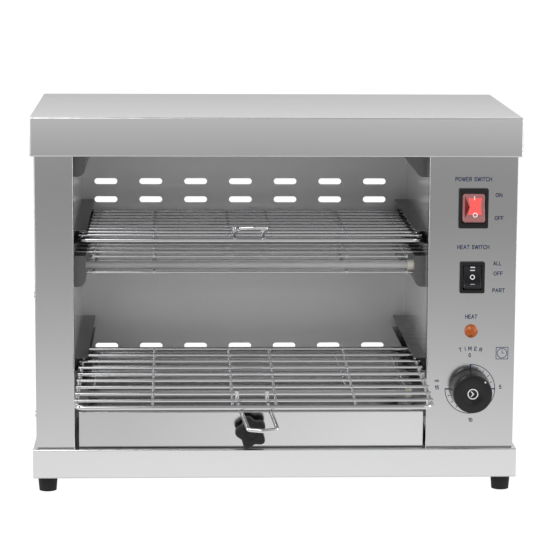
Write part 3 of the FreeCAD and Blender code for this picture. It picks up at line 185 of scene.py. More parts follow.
# %% [markdown]
# ## Studio light
#
# The sky of the studio is two soft gradients. Behind the toaster stands a bright backdrop; on the
# camera's side the room is dim, with a broad band of light halfway up. Steel and chrome need this
# change from bright to dim, because evenly lit metal looks like grey paper. Large soft lamps fill in
# the rest, and a narrow strip lamp at each side draws a bright line along every folded edge.

# %% Light the studio
world = bpy.data.worlds.new("studio")
world.use_nodes = True
bpy.context.scene.world = world
tree = world.node_tree
background = tree.nodes["Background"]
rays = tree.nodes.new("ShaderNodeLightPath")
heading = tree.nodes.new("ShaderNodeTexCoord")
axes = tree.nodes.new("ShaderNodeSeparateXYZ")
tree.links.new(heading.outputs["Generated"], axes.inputs[0])
rise = tree.nodes.new("ShaderNodeMapRange")
rise.inputs["From Min"].default_value = -1
tree.links.new(axes.outputs["Z"], rise.inputs["Value"])
near_side = ramp_node(tree, [(0.5, 0.6), (0.55, 0.3), (0.72, 0.2), (0.84, 0.85), (0.93, 0.35)])
far_side = ramp_node(tree, [(0.5, 0.74), (0.57, 0.68), (0.66, 0.6), (0.8, 0.45), (0.93, 0.35)])
for side_ramp in (near_side, far_side):
    tree.links.new(rise.outputs[0], side_ramp.inputs["Fac"])
depth = tree.nodes.new("ShaderNodeMapRange")
depth.interpolation_type = "SMOOTHSTEP"
depth.inputs["From Min"].default_value = -0.85
depth.inputs["From Max"].default_value = 0.0
tree.links.new(axes.outputs["Y"], depth.inputs["Value"])
sky = tree.nodes.new("ShaderNodeMix")
sky.data_type = "RGBA"
tree.links.new(depth.outputs[0], sky.inputs["Factor"])
tree.links.new(near_side.outputs["Color"], sky.inputs["A"])
tree.links.new(far_side.outputs["Color"], sky.inputs["B"])
seen = tree.nodes.new("ShaderNodeMath")
seen.operation = "MAXIMUM"
tree.links.new(rays.outputs["Is Camera Ray"], seen.inputs[0])
tree.links.new(rays.outputs["Is Transmission Ray"], seen.inputs[1])
pick = tree.nodes.new("ShaderNodeMix")
pick.data_type = "RGBA"
tree.links.new(seen.outputs[0], pick.inputs["Factor"])
tree.links.new(sky.outputs["Result"], pick.inputs["A"])
pick.inputs["B"].default_value = (1, 1, 1, 1)
tree.links.new(pick.outputs["Result"], background.inputs["Color"])


def soft_lamp(name, place, aim, size, power):
    """A soft box of a given width and height, pointed at a spot."""
    light = bpy.data.lights.new(name, "AREA")
    light.shape = "RECTANGLE"
    light.size, light.size_y = size
    light.energy = power
    lamp = bpy.data.objects.new(name, light)
    lamp.location = place
    lamp.rotation_euler = (Vector(aim) - Vector(place)).to_track_quat("-Z", "Y").to_euler()
    bpy.context.scene.collection.objects.link(lamp)


soft_lamp("key", (-0.9, -1.5, 1.7), (0, 0, 0.2), (1.4, 1.0), 22)
soft_lamp("fill", (1.6, -1.4, 1.2), (0, 0, 0.2), (2.6, 2.0), 11)
soft_lamp("rim", (0.2, 1.3, 1.5), (0, 0.1, 0.3), (1.6, 0.7), 6)
soft_lamp("left_strip", (-1.4, -0.4, 0.4), (0, -0.05, 0.2), (0.3, 1.2), 5)
soft_lamp("right_strip", (1.4, -0.4, 0.4), (0, -0.05, 0.2), (0.3, 1.2), 5)

# %% [markdown]
# ## Brushed steel
#
# Cabinet sheets are stainless steel with a grain so fine that it only softens what they mirror. Grain
# is noise that is stretched a lot in one direction, about a third of a millimetre from line to line.
# It changes the roughness a little and tilts the surface a very little, and the stretch follows each
# sheet: across the hood and the base, and up the posts and panels. A second, slow noise keeps the
# steel from looking computed. Some greys are painted light and shade: the hood is painted lightest
# along its front fold and darker towards its back and its hem, and the tray lighter at its right end.
# The posts and the inside of the rear wall are painted darker towards the top, and the outside face
# of the rear wall sits further along the same gradient, so it is painted darker still.

# %% Make brushed steel
def grained(name, colour, roughness, stretch, depth=0.008, vary=0.025, metallic=1.0):
    """Steel with a grain: stretch is how closely the noise is packed along x, y and z."""
    finish, shader = new_finish(name, colour, roughness, metallic)
    tree = finish.node_tree
    place = tree.nodes.new("ShaderNodeTexCoord")
    pack = tree.nodes.new("ShaderNodeMapping")
    pack.inputs["Scale"].default_value = stretch
    tree.links.new(place.outputs["Object"], pack.inputs["Vector"])
    lines = tree.nodes.new("ShaderNodeTexNoise")
    lines.inputs["Scale"].default_value = 1.0
    lines.inputs["Detail"].default_value = 3.0
    tree.links.new(pack.outputs[0], lines.inputs["Vector"])
    cloud = tree.nodes.new("ShaderNodeTexNoise")
    cloud.inputs["Scale"].default_value = 9.0
    tree.links.new(place.outputs["Object"], cloud.inputs["Vector"])
    both = tree.nodes.new("ShaderNodeMath")
    both.operation = "ADD"
    tree.links.new(lines.outputs["Fac"], both.inputs[0])
    tree.links.new(cloud.outputs["Fac"], both.inputs[1])
    rough = tree.nodes.new("ShaderNodeMapRange")
    rough.inputs["From Min"].default_value = 0.6
    rough.inputs["From Max"].default_value = 1.4
    rough.clamp = True
    rough.inputs["To Min"].default_value = roughness - vary
    rough.inputs["To Max"].default_value = roughness + vary
    tree.links.new(both.outputs[0], rough.inputs["Value"])
    tree.links.new(rough.outputs[0], shader.inputs["Roughness"])
    relief = tree.nodes.new("ShaderNodeBump")
    relief.inputs["Strength"].default_value = depth
    relief.inputs["Distance"].default_value = 0.0001
    tree.links.new(lines.outputs["Fac"], relief.inputs["Height"])
    tree.links.new(relief.outputs["Normal"], shader.inputs["Normal"])
    return finish


def paint_light_gradient(finish, heading, low, high, greys):
    """Paints light and shade into a finish: its colour runs through some greys along a direction."""
    tree = finish.node_tree
    place = tree.nodes.new("ShaderNodeTexCoord")
    along = tree.nodes.new("ShaderNodeVectorMath")
    along.operation = "DOT_PRODUCT"
    along.inputs[1].default_value = heading
    tree.links.new(place.outputs["Object"], along.inputs[0])
    span = tree.nodes.new("ShaderNodeMapRange")
    span.inputs["From Min"].default_value = low
    span.inputs["From Max"].default_value = high
    tree.links.new(along.outputs["Value"], span.inputs["Value"])
    light_and_shade_ramp = ramp_node(tree, [(k / (len(greys) - 1), grey) for k, grey in enumerate(greys)])
    tree.links.new(span.outputs[0], light_and_shade_ramp.inputs["Fac"])
    tree.links.new(light_and_shade_ramp.outputs["Color"], tree.nodes["Principled BSDF"].inputs["Base Color"])


def dress(finish, *nodes):
    """Gives CAD nodes a finish through their material slots."""
    for name in nodes:
        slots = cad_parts[name].data.materials
        slots.clear()
        slots.append(finish)


ACROSS, UPRIGHT = (60, 3000, 3000), (3000, 3000, 60)
steel_hood = grained("brushed_hood", (0.78, 0.78, 0.78), 0.2, ACROSS)
# painted light: the hood is lighter along its front fold, darker towards its back and down its hem
paint_light_gradient(steel_hood, (0, 1, -4), -1.589, -1.33, (0.82, 0.55))
steel_base = grained("brushed_base", (0.78, 0.78, 0.785), 0.2, ACROSS)
steel_tray = grained("brushed_tray", (0.66, 0.66, 0.66), 0.12, ACROSS)
# painted light: the tray is lighter towards its right end
paint_light_gradient(steel_tray, (1, 0, 0), -0.15, 0.1, (0.56, 0.74))
steel_rear = grained("brushed_rear", (0.8, 0.8, 0.8), 0.45, ACROSS, metallic=0.6)
SHEET = 0.8 * MM
rear_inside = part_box("rear_panel")[1].y - SHEET
# painted light and shade: the rear wall is lighter towards the bottom, darker towards the top, its outside
# face darker still
paint_light_gradient(steel_rear, (0, 300, 1), 300 * rear_inside + 0.12, 300 * rear_inside + 0.48, (1.0, 0.85, 0.45))
steel_upright = grained("brushed_upright", (0.58, 0.58, 0.58), 0.14, UPRIGHT)
# painted shade: the posts and panels are darker towards the top
paint_light_gradient(steel_upright, (0, 0, 1), 0.06, 0.31, (0.63, 0.53))
dress(steel_hood, "hood")
dress(steel_base, "base_pan")
dress(steel_tray, "crumb_tray")
dress(steel_rear, "rear_panel")
dress(steel_upright, "left_side_panel", "right_side_panel", "control_panel")
print("brushed finishes:", [m.name for m in bpy.data.materials if m.name.startswith("brushed")])

# %% [markdown]
# ## Polished and plain sheets
#
# The walls inside the heating space are left bright from the mill, and they mirror the racks. The
# runners and tube brackets are much darker: their very dark grey is painted shade for the dim inside
# that they mostly face. Screws, nuts and the bottom plate are zinc-plated steel with a faint blue cast.

# %% Make the plainer metals
mirror = grained("bright_mill_sheet", (0.86, 0.86, 0.86), 0.2, UPRIGHT, 0.01, 0.03, 0.7)
dress(mirror, "cavity_left_wall", "cavity_right_wall", "cavity_ceiling")
# painted shade: runners and brackets get a very dark grey for the dim inside of the heating space
satin = grained("shade_darkened_sheet", (0.16, 0.16, 0.163), 0.3, (60, 1500, 1500), 0.04, 0.05)
dress(satin, *[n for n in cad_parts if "runner" in n or "bracket" in n])
zinc = grained("zinc_plate", (0.6, 0.62, 0.65), 0.32, (400, 400, 400), 0.1, 0.08)
dress(zinc, "bottom_plate", "foot_screws", "foot_nuts", "side_screws", "rear_screws", "tube_pins",
      "tray_knob_stud", "timer_shaft")
print("sheets inside:", mirror.name, satin.name, zinc.name)

# %% [markdown]
# ## Chrome wire
#
# The racks, their handles and the guards over the tubes are steel wire with a bright nickel and
# chrome coat. It is nearly a mirror, and it takes its look from the light and dark around it.
# Faint ripples break the long reflections, because drawn wire is never quite straight.

# %% Make chrome wire
chrome = grained("chrome_wire", (0.66, 0.66, 0.67), 0.05, (60, 60, 60), 0.015, 0.02)
dress(chrome, *[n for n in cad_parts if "rack" in n and "bracket" not in n or n.endswith("guard")])
print("wire nodes:", [n for n in sorted(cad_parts) if "rack" in n or n.endswith("guard")])

# %% [markdown]
# ## Quartz tubes
#
# The heaters are tubes of milky fused quartz, with a resistance coil loose inside and a ceramic cap
# at each end. A little light passes through the quartz, but its skin scatters most of it.

# %% Make the heaters' finishes
quartz, shader = new_finish("milky_quartz", (0.8, 0.8, 0.8), 0.2)
shader.inputs["Transmission Weight"].default_value = 0.3
shader.inputs["IOR"].default_value = 1.46
tree = quartz.node_tree
clouds = tree.nodes.new("ShaderNodeTexNoise")
clouds.inputs["Scale"].default_value = 60
frost = tree.nodes.new("ShaderNodeMapRange")
frost.inputs["To Min"].default_value = 0.12
frost.inputs["To Max"].default_value = 0.34
tree.links.new(clouds.outputs["Fac"], frost.inputs["Value"])
tree.links.new(frost.outputs[0], shader.inputs["Roughness"])
# painted light: the quartz is lighter towards the right
paint_light_gradient(quartz, (1, 0, 0), -0.1, 0.15, (0.5, 0.72))
dress(quartz, "low_heating_tubes", "middle_heating_tubes", "top_heating_tubes")


def speckled(name, colour, roughness, scale, depth, tint=0.12, sheen=0.5):
    """A moulded or fired material: fine noise in its colour and its relief, and a level of sheen."""
    finish, shader = new_finish(name, colour, roughness)
    tree = finish.node_tree
    place = tree.nodes.new("ShaderNodeTexCoord")
    grain = tree.nodes.new("ShaderNodeTexNoise")
    grain.inputs["Scale"].default_value = scale
    grain.inputs["Detail"].default_value = 4
    tree.links.new(place.outputs["Object"], grain.inputs["Vector"])
    shade = tree.nodes.new("ShaderNodeMix")
    shade.data_type = "RGBA"
    shade.inputs["A"].default_value = (*[c * (1 - tint) for c in colour], 1)
    shade.inputs["B"].default_value = (*[min(1, c * (1 + tint)) for c in colour], 1)
    tree.links.new(grain.outputs["Fac"], shade.inputs["Factor"])
    tree.links.new(shade.outputs["Result"], shader.inputs["Base Color"])
    shader.inputs["Specular IOR Level"].default_value = sheen
    relief = tree.nodes.new("ShaderNodeBump")
    relief.inputs["Strength"].default_value = depth
    relief.inputs["Distance"].default_value = 0.0002
    tree.links.new(grain.outputs["Fac"], relief.inputs["Height"])
    tree.links.new(relief.outputs["Normal"], shader.inputs["Normal"])
    return finish


ceramic = speckled("fired_ceramic", (0.72, 0.69, 0.62), 0.6, 700, 0.3)
dress(ceramic, "tube_caps")
coil_wire = grained("oxidised_coil", (0.16, 0.14, 0.13), 0.5, (400, 400, 400), 0.3, 0.1)
dress(coil_wire, "heating_coils")
print("heater finishes:", quartz.name, ceramic.name, coil_wire.name)

# %% [markdown]
# ## Plastics, rubber and brass
#
# Knobs, switch frames and the gland are black moulded plastic with a fine satin texture. The feet are
# matt rubber. Both have a low sheen, because dust and handling dull new black plastic. Inside the
# control side are white plastic, brass blades and silicone leads, which show only when the toaster is
# opened, but they get their finish too.

# %% Make the moulded finishes
black_plastic = speckled("black_moulding", (0.012, 0.012, 0.013), 0.34, 900, 0.1, sheen=0.28)
rubber = speckled("foot_rubber", (0.013, 0.013, 0.014), 0.7, 500, 0.35, sheen=0.28)
white_plastic = speckled("white_moulding", (0.74, 0.73, 0.7), 0.45, 800, 0.1, 0.04)
brass = grained("blade_brass", (0.78, 0.56, 0.26), 0.3, (300, 300, 300), 0.2, 0.06)
silicone = speckled("silicone_sleeve", (0.68, 0.66, 0.62), 0.55, 300, 0.2, 0.05)
dress(black_plastic, "tray_knob", "power_switch_body", "heat_switch_body", "timer_knob",
      "heat_rocker", "cable_gland", "gland_nut")
dress(rubber, *[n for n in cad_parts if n.startswith("foot_") and n.split("_")[1] in ("front", "rear")])
dress(white_plastic, "lamp_body", "timer_body", "terminal_block")
dress(brass, "switch_terminals")
dress(silicone, "leads")
print("moulded finishes:", black_plastic.name, rubber.name, white_plastic.name)

# %% [markdown]
# ## Amber lamp and red rocker
#
# Both are clear coloured plastic. The lamp is a smooth amber dome. The power rocker is a smoky pink
# lens with its own small lamp inside: the lamp's window glows coral, and the part that it doesn't
# reach stays dark red.

# %% Make the coloured plastics
amber, shader = new_finish("amber_lens", (0.4, 0.085, 0.008), 0.14)
shader.inputs["Specular IOR Level"].default_value = 0.4
tree = amber.node_tree
ripple = tree.nodes.new("ShaderNodeTexNoise")
ripple.inputs["Scale"].default_value = 180
relief = tree.nodes.new("ShaderNodeBump")
relief.inputs["Strength"].default_value = 0.15
relief.inputs["Distance"].default_value = 0.0003
tree.links.new(ripple.outputs["Fac"], relief.inputs["Height"])
tree.links.new(relief.outputs["Normal"], shader.inputs["Normal"])
dress(amber, "lamp_lens")
smoky = speckled("smoky_pink_lens", (0.33, 0.13, 0.13), 0.22, 400, 0.05)
dress(smoky, "power_rocker")
coral = speckled("coral_window", (0.85, 0.1, 0.09), 0.3, 400, 0.02, 0.05)
shader = coral.node_tree.nodes["Principled BSDF"]
shader.inputs["Emission Color"].default_value = (0.9, 0.1, 0.1, 1)
shader.inputs["Emission Strength"].default_value = 0.15
deep_red = speckled("deep_red_lens", (0.16, 0.004, 0.006), 0.25, 400, 0.05)
mark_white = speckled("white_mark", (0.78, 0.78, 0.77), 0.45, 900, 0.05, 0.04)
print("coloured plastics:", amber.name, smoky.name, coral.name, deep_red.name)

# %% [markdown]
# ## The printed panel
#
# The wording on the panel is screen-printed in dark blue: switch positions, the timer's numbers and
# its ring of minutes. Every letter is drawn with short pen strokes of one width, the way such a plain
# sans-serif is cut for a printing screen. All strokes become one thin mesh that lies a hair above the
# sheet, because ink has almost no thickness and a texture would blur.

# %% Start the print
PANEL_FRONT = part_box("control_panel")[0].y
INK_LIFT = 0.00004
ink = speckled("blue_print", (0.008, 0.024, 0.095), 0.5, 1500, 0.05, 0.2, 0.2)
print_layer = bmesh.new()


def on_panel(x, z):
    """Point in metres on the ink's surface from millimetres across and up the panel."""
    return Vector((x * MM, PANEL_FRONT - INK_LIFT, z * MM))


BOWL = [(0, 0), (0, 1), (0.7, 1), (1, 0.87), (1, 0.6), (0.7, 0.46), (0, 0.46)]
OVAL = [(0.5, 0), (0.15, 0.13), (0, 0.5), (0.15, 0.87), (0.5, 1), (0.85, 0.87), (1, 0.5), (0.85, 0.13),
        (0.5, 0)]
STROKES = {
    "A": (0.72, [(0, 0), (0.5, 1), (1, 0)], [(0.2, 0.34), (0.8, 0.34)]),
    "C": (0.72, [(1, 0.84), (0.75, 1), (0.3, 1), (0, 0.7), (0, 0.3), (0.3, 0), (0.75, 0), (1, 0.16)]),
    "E": (0.58, [(1, 1), (0, 1), (0, 0), (1, 0)], [(0, 0.52), (0.85, 0.52)]),
    "F": (0.55, [(1, 1), (0, 1), (0, 0)], [(0, 0.5), (0.85, 0.5)]),
    "H": (0.66, [(0, 0), (0, 1)], [(1, 0), (1, 1)], [(0, 0.52), (1, 0.52)]),
    "I": (0.02, [(0.5, 0), (0.5, 1)]),
    "L": (0.52, [(0, 1), (0, 0), (1, 0)]),
    "M": (0.84, [(0, 0), (0.08, 1), (0.5, 0.2), (0.92, 1), (1, 0)]),
    "N": (0.68, [(0, 0), (0, 1), (1, 0), (1, 1)]),
    "O": (0.8, OVAL),
    "P": (0.56, BOWL),
    "R": (0.6, BOWL, [(0.5, 0.46), (1, 0)]),
    "S": (0.56, [(1, 0.85), (0.72, 1), (0.25, 1), (0, 0.8), (0.12, 0.6), (0.88, 0.42), (1, 0.2),
                 (0.75, 0), (0.25, 0), (0, 0.15)]),
    "T": (0.64, [(0, 1), (1, 1)], [(0.5, 1), (0.5, 0)]),
    "W": (1.0, [(0, 1), (0.25, 0), (0.5, 0.9), (0.75, 0), (1, 1)]),
    "0": (0.5, OVAL),
    "1": (0.22, [(0, 0.75), (1, 1), (1, 0)]),
    "5": (0.48, [(0.95, 1), (0.12, 1), (0.05, 0.52), (0.55, 0.62), (1, 0.4), (1, 0.2), (0.65, 0),
                 (0, 0.06)]),
    "m": (0.95, [(0, 0), (0, 1)], [(0, 0.7), (0.3, 1), (0.5, 0.75), (0.5, 0)],
          [(0.5, 0.7), (0.8, 1), (1, 0.75), (1, 0)]),
    "i": (0.02, [(0.5, 0), (0.5, 1)], [(0.5, 1.3), (0.5, 1.5)]),
    "n": (0.5, [(0, 0), (0, 1)], [(0, 0.7), (0.55, 1), (1, 0.75), (1, 0)]),
    " ": (0.3,),
}


LETTER_GAP = 0.3


def words(text, x, z, cap=3.6, width=None, lean=0.0, line=0.7):
    """Letters centred on a spot of the panel: cap is the height of a capital, in mm."""
    sizes = [STROKES[letter][0] for letter in text]
    wide = cap * (sum(sizes) + LETTER_GAP * (len(text) - 1))
    stretch = width / wide if width else 1.0
    start = -(width or wide) / 2
    for letter, size in zip(text, sizes):
        for stroke in STROKES[letter][1:]:
            spots = [Matrix.Rotation(-lean, 2) @ Vector((start + u * size * cap * stretch, (v - 0.5) * cap))
                     for u, v in stroke]
            for first, second in zip(spots, spots[1:]):
                along = (second - first).normalized() * line / 2
                side = Vector((-along.y, along.x))
                first, second = first - along, second + along
                print_layer.faces.new([print_layer.verts.new(on_panel(x + p.x, z + p.y)) for p in (
                    first - side, second - side, second + side, first + side)])
        start += (size + LETTER_GAP) * cap * stretch


for text, x, z, cap, width in (
        ("POWER SWITCH", 196.8, 319.0, 3.7, 36.2), ("ON", 222.4, 303.0, 3.4, 6.2),
        ("OFF", 223.0, 279.7, 3.5, 8.4), ("HEAT SWITCH", 197.7, 250.4, 3.6, 31.7),
        ("ALL", 222.2, 233.8, 3.4, 7.8), ("OFF", 223.2, 223.5, 3.5, 9.0),
        ("PART", 224.1, 206.3, 3.6, 12.0), ("HEAT", 197.0, 179.4, 3.7, 11.4)):
    words(text, x, z, cap, width)
print("letters so far have", len(print_layer.faces), "faces")

# %% [markdown]
# The timer's wording follows its dial. Five letters lean along an arc above it, the numbers stand at
# the quarter turns, and a thin ring with ticks runs from 0 clockwise to 15 minutes. Each line is a
# strip of small quads, made from the same polar steps.

# %% Print the timer's ring
DIAL = (197.0, 105.0)


def polar(radius, clock):
    """Panel millimetres of a point at a radius and an angle clockwise from the top of the dial."""
    turn = math.radians(clock)
    return DIAL[0] + radius * math.sin(turn), DIAL[1] + radius * math.cos(turn)


def strip(inner, outer):
    """A printed line between two rows of points."""
    rows = [[print_layer.verts.new(on_panel(*p)) for p in row] for row in (inner, outer)]
    for k in range(len(inner) - 1):
        print_layer.faces.new((rows[0][k], rows[0][k + 1], rows[1][k + 1], rows[1][k]))


def printed_ring(radius, start, end, width, centre=None, steps=90):
    """A printed arc; angles are clockwise from the top."""
    cx, cz = centre or DIAL
    turns = [math.radians(start + (end - start) * k / steps) for k in range(steps + 1)]
    rows = [[(cx + r * math.sin(t), cz + r * math.cos(t)) for t in turns]
            for r in (radius - width / 2, radius + width / 2)]
    strip(*rows)


def printed_line(start, end, width):
    """A printed straight line between two points in mm."""
    along = (Vector(end) - Vector(start)).normalized()
    side = Vector((-along.y, along.x)) * width / 2
    strip([Vector(start) - side, Vector(end) - side], [Vector(start) + side, Vector(end) + side])


for letter, clock in zip("TIMER", (-14.4, -7.6, -1, 7, 14.2)):
    words(letter, *polar(41.7, clock), 3.6, None, math.radians(clock))
numbers = {"0": (196.1, 139.8), "5": (227.9, 107), "10": (198.1, 72.9), "15": (163.4, 106.5)}
for label, spot in numbers.items():
    words(label, *spot, 3.5)
words("min", 163.3, 113.2, 1.9, line=0.4)
RING, MINUTE_TURN = 25.3, 18
printed_ring(RING, 0, 270, 0.7)
for clock in (0, 90, 270):
    printed_line(polar(21.0, clock), polar(RING + 0.3, clock), 1.3)
for minute in range(1, 15):
    if minute % 5:
        printed_line(polar(21.4, minute * MINUTE_TURN), polar(23.6, minute * MINUTE_TURN), 0.75)
print("ring printed, radius in mm:", RING)

# %% [markdown]
# A small clock drawing in a square stands beside the dial: a box, a circle and two hands.

# %% Print the clock and lay the ink down
CLOCK, HALF = (228.9, 141.8), 6.0
corners = [(CLOCK[0] + a * HALF, CLOCK[1] + b * HALF) for a, b in ((-1, -1), (1, -1), (1, 1), (-1, 1))]
for start, end in zip(corners, corners[1:] + corners[:1]):
    printed_line(start, end, 0.65)
printed_ring(4.9, 0, 360, 0.65, CLOCK, 48)
printed_line(CLOCK, (CLOCK[0], CLOCK[1] + 3.2), 0.6)
printed_line(CLOCK, (CLOCK[0] + 2.2, CLOCK[1]), 0.6)


def settle(piece_mesh, name, finish, body, smooth=None):
    """Turns a bmesh into a named piece that rides on a body."""
    mesh = bpy.data.meshes.new(name)
    piece_mesh.to_mesh(mesh)
    piece_mesh.free()
    mesh.materials.append(finish)
    piece = bpy.data.objects.new(name, mesh)
    bpy.context.scene.collection.objects.link(piece)
    if smooth is not None:
        mesh.shade_smooth()
        mesh.set_sharp_from_angle(angle=math.radians(smooth))
    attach(piece, body)
    print(name, "has", len(mesh.polygons), "faces")
    return piece


for face in print_layer.faces:
    if face.normal.y > 0:
        face.normal_flip()
settle(print_layer, "panel_print", ink, "cabinet")

# %% [markdown]
# ## Rockers with their marks
#
# Each rocker is one moulded paddle. Its face is a shallow hollow, so that a finger finds both ends, and
# its corners are rounded. The CAD rocker has the right size and pivot but a plain creased face, so a
# finer paddle takes its place. It is built in layers around the pivot, from the back to the face.

# %% Mould the rockers
POWER, POWER_HALF = (197, -57.751, 289.7), (11.3, 14.3)
HEAT, HEAT_HALF = (197, -57.751, 219.6), (9.0, 11.95)
TIP = Matrix.Rotation(math.radians(-7), 3, "X")


def rounded(half_width, half_height, radius, steps=8):
    """Points of a rounded rectangle in mm, with some along its straight sides too."""
    arcs = []
    for corner, (a, b) in enumerate(((1, 1), (-1, 1), (-1, -1), (1, -1))):
        turns = [math.radians(90 * (corner + k / steps)) for k in range(steps + 1)]
        arcs.append([Vector((a * (half_width - radius) + radius * math.cos(t),
                             b * (half_height - radius) + radius * math.sin(t))) for t in turns])
    points = []
    for arc, following in zip(arcs, arcs[1:] + arcs[:1]):
        points += arc + [arc[-1].lerp(following[0], k / 12) for k in range(1, 12)]
    return points


def face_depth(height, half_height):
    """How far in front of its pivot a rocker's face lies at a height, in mm."""
    return 4.3 + 2.1 * min(1.0, abs(height) / (half_height - 1.2)) ** 2


def paddle(pivot, half_width, half_height, name, finish, node):
    """A rocker with a hollow face. It stands in for a CAD rocker and tips with it."""
    mesh = bmesh.new()

    def ring(scale_x, scale_z, inset, front=None, back=0.0):
        row = []
        for x, z in rounded(half_width - inset, half_height - inset, 2.6 - inset * 0.6):
            x, z = x * scale_x, z * scale_z
            y = back if front is None else -face_depth(z, half_height) + front
            row.append(mesh.verts.new((Vector(pivot) + TIP @ Vector((x, y, z))) * MM))
        return row

    rows = [ring(1, 1 / 3, 0, None, 6), ring(1, 1, 0, None, 2), ring(1, 1, 0, None, 0), ring(1, 1, 0, 0.9),
            ring(1, 1, 0.25, 0.3), ring(1, 1, 0.8, 0.0)]
    rows += [ring(k, k, 0.8, 0.0) for k in [1 - 0.06 * step for step in range(1, 17)]]
    for first, second in zip(rows, rows[1:]):
        for k in range(len(first)):
            mesh.faces.new((first[k], first[k - 1], second[k - 1], second[k]))
    mesh.faces.new(rows[0])
    mesh.faces.new(list(reversed(rows[-1])))
    bmesh.ops.recalc_face_normals(mesh, faces=mesh.faces)
    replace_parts(settle(mesh, name, finish, node, 50), node)


paddle(POWER, *POWER_HALF, "power_paddle", smoky, "power_rocker")
gloss_black = speckled("gloss_black_moulding", (0.01, 0.01, 0.012), 0.2, 700, 0.04, sheen=0.28)
paddle(HEAT, *HEAT_HALF, "heat_paddle", gloss_black, "heat_rocker")

# %% [markdown]
# Marks on the rockers are pad-printed in white: a bar and a ring on the power rocker, and two bars, a
# ring and one bar on the heat rocker. The power rocker also has its coral window, which is narrower in
# the middle, and the dark wedge beside it. All of these are thin layers that follow the hollow face.

# %% Print the rockers' marks
def on_rocker(pivot, half_height, lift):
    """Turns mm across and up a rocker's face into a point just above that face."""
    def point(x, z):
        return (Vector(pivot) + TIP @ Vector((x, -face_depth(z, half_height) - lift, z))) * MM
    return point


def layer(shapes, point, name, finish, body):
    """A thin printed layer: every shape is two rows of points with quads between them."""
    mesh = bmesh.new()
    for first, second in shapes:
        rows = [[mesh.verts.new(point(*p)) for p in row] for row in (first, second)]
        for k in range(len(first) - 1):
            mesh.faces.new((rows[0][k], rows[0][k + 1], rows[1][k + 1], rows[1][k]))
    for face in mesh.faces:
        face.normal_update()
        if face.normal.y > 0:
            face.normal_flip()
    return settle(mesh, name, finish, body)


def bar(x, z, width, height, steps=4):
    """A printed bar around a spot."""
    heights = [z - height / 2 + height * k / steps for k in range(steps + 1)]
    return [(x - width / 2, h) for h in heights], [(x + width / 2, h) for h in heights]


def hoop(x, z, outer, inner, steps=40):
    """A printed ring around a spot."""
    turns = [2 * math.pi * k / steps for k in range(steps + 1)]
    return tuple([(x + r * math.cos(t), z + r * math.sin(t)) for t in turns] for r in (inner, outer))


STEPS = 24
heights = [-6.6 + 16.8 * k / STEPS for k in range(STEPS + 1)]
waist = [math.cos(math.pi * (k / STEPS - 0.5)) ** 1.5 for k in range(STEPS + 1)]
window = ([(-5.7 + 1.7 * w, h) for w, h in zip(waist, heights)],
          [(8.0 - 0.8 * w, h) for w, h in zip(waist, heights)])
heights = [-10.1 + 21.8 * k / STEPS for k in range(STEPS + 1)]
wedge = ([(-9.0, h) for h in heights],
         [(-9.0 + 5.0 * max(0.0, 1 - abs(h - 0.8) / 11), h) for h in heights])
power_face = on_rocker(POWER, POWER_HALF[1], 0.05)
layer([wedge], power_face, "power_dark_wedge", deep_red, "power_rocker")
layer([window], power_face, "power_window", coral, "power_rocker")
power_marks = on_rocker(POWER, POWER_HALF[1], 0.09)
layer([bar(0.6, 10.0, 1.1, 4.0), hoop(1.4, -6.9, 2.5, 1.5)],
      power_marks, "power_marks", mark_white, "power_rocker")
heat_marks = on_rocker(HEAT, HEAT_HALF[1], 0.05)
layer([bar(0, 10.1, 4.6, 1.0), bar(0, 7.0, 4.6, 1.0), hoop(0, 0.2, 2.5, 1.6)],
      heat_marks, "heat_marks", mark_white, "heat_rocker")
# the heat rocker's lowest bar is set in a dark grey, not in white
grey_mark = speckled("grey_low_mark", (0.3, 0.3, 0.3), 0.5, 900, 0.05, 0.04)
layer([bar(0, -7.0, 4.6, 0.9)], heat_marks, "heat_low_mark", grey_mark, "heat_rocker")

# %% [markdown]
# ## Timer knob
#
# The knob is a round moulding: a fine groove near the panel, a barrel that narrows a little, and a flat
# face with a shallow dish. It is a lathe shape, so one profile swept around the dial's axis gives it,
# with soft edges that catch the light. Its foot is slightly narrower than the CAD knob's, so that the
# minute ticks stay in sight. In the dish is a plain ring with a small arrowhead, and a white dot on the
# rim is the pointer.

# %% Turn the timer knob
def lathe(profile, centre, name, finish, node, wave=None, steps=96, smooth=40):
    """Sweeps (radius, y, weight) steps in mm around an axis; wave shapes the radius by angle."""
    mesh = bmesh.new()
    rows = []
    for radius, y, weight in profile:
        row = []
        for k in range(steps):
            turn = 2 * math.pi * k / steps
            reach = radius + (wave(turn) * weight if wave else 0)
            row.append(mesh.verts.new(Vector((centre[0] + reach * math.cos(turn), y,
                                              centre[1] + reach * math.sin(turn))) * MM))
        rows.append(row)
    for first, second in zip(rows, rows[1:]):
        for k in range(steps):
            mesh.faces.new((first[k], first[k - 1], second[k - 1], second[k]))
    mesh.faces.new(rows[0])
    mesh.faces.new(list(reversed(rows[-1])))
    bmesh.ops.recalc_face_normals(mesh, faces=mesh.faces)
    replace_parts(settle(mesh, name, finish, RIDES_ON[node], smooth), node)


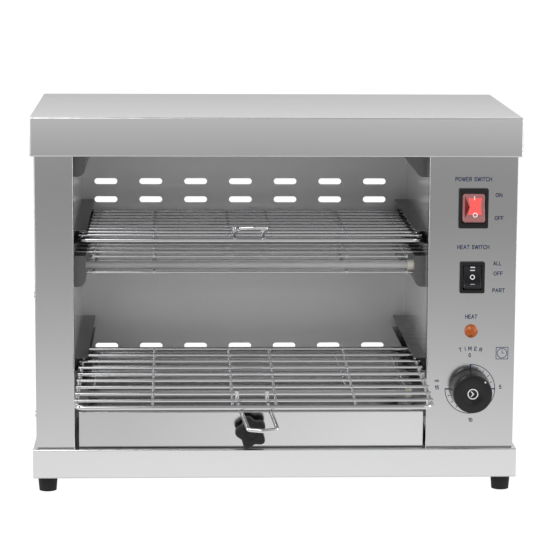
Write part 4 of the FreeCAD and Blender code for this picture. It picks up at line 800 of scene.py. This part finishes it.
RIDES_ON = {"timer_knob": "timer_dial", "tray_knob": "crumb_drawer"}
knob_low, knob_high = (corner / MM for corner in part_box("timer_knob"))
knob_back, knob_face = knob_high.y, knob_low.y
profile = [(20.1, knob_back, 0), (20.7, knob_back - 0.5, 0), (20.7, knob_back - 2.2, 0),
           (20.3, knob_back - 2.6, 0), (20.3, knob_back - 3.2, 0), (20.6, knob_back - 3.6, 0),
           (19.6, knob_face + 1.6, 0), (19.4, knob_face + 0.9, 0), (18.9, knob_face + 0.3, 0),
           (18.2, knob_face, 0), (11.4, knob_face, 0), (10.6, knob_face + 0.12, 0),
           (9.4, knob_face + 0.6, 0), (8.0, knob_face + 1.2, 0), (6.8, knob_face + 1.45, 0),
           (6.0, knob_face + 1.5, 0), (0.5, knob_face + 1.5, 0)]
knob_black = speckled("knob_black", (0.014, 0.014, 0.0145), 0.2, 900, 0.05, sheen=0.28)
lathe(profile, DIAL, "timer_knob_turned", knob_black, "timer_knob")


def on_knob(depth):
    """Turns mm around the dial's axis into a point at a depth behind the knob's face."""
    def point(x, z):
        return Vector((DIAL[0] + x, knob_face + depth, DIAL[1] + z)) * MM
    return point


arrow = [(-1.3, 2.8), (1.4, 0), (-1.3, -2.8)], [(-2.3, 2.8), (-0.2, 0), (-2.3, -2.8)]
layer([hoop(0, 0, 5.4, 4.4), arrow], on_knob(1.45), "timer_knob_ring", mark_white, "timer_dial")
spot = 17.3 * math.sin(math.radians(45))
layer([hoop(spot, spot, 0.85, 0.05, 20)], on_knob(-0.03), "timer_knob_dot", mark_white, "timer_dial")

# %% [markdown]
# ## Star knob of the tray
#
# The tray's knob is a five-lobed star, moulded in black. Its outline is one smooth wave around the
# stud, so the same lathe makes it: the wave is full at the grip and fades to nothing at the neck and at
# the round cap in the middle of the face. The cap's rim is a fine groove.

# %% Mould the star knob
star_low, star_high = (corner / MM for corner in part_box("tray_knob"))
STAR = (-25.0, 64.6)
LOBES, LOBE_RISE, FIRST_LOBE = 5, 2.1, math.radians(107)


def lobes(turn):
    """How far the star's outline stands out of a circle at an angle, in mm."""
    return LOBE_RISE * math.cos(LOBES * (turn - FIRST_LOBE))


front, back = star_low.y, star_high.y
head_back = front + 16
profile = [(6.2, back, 0), (6.4, back - 0.4, 0), (6.4, head_back, 0), (12.6, head_back - 0.2, 0.8),
           (13.8, head_back - 1.2, 1), (14.1, head_back - 2.4, 1), (14.1, front + 2.0, 1),
           (13.8, front + 0.9, 1), (13.0, front + 0.3, 0.95), (12.0, front, 0.85), (8.5, front, 0.3),
           (6.3, front, 0), (6.0, front + 0.35, 0), (5.6, front + 0.35, 0), (5.3, front, 0), (0.5, front, 0)]
lathe(profile, STAR, "tray_knob_star", black_plastic, "tray_knob", lobes, 120)

# %% Set the colour view
bpy.context.scene.view_settings.view_transform = "Standard"
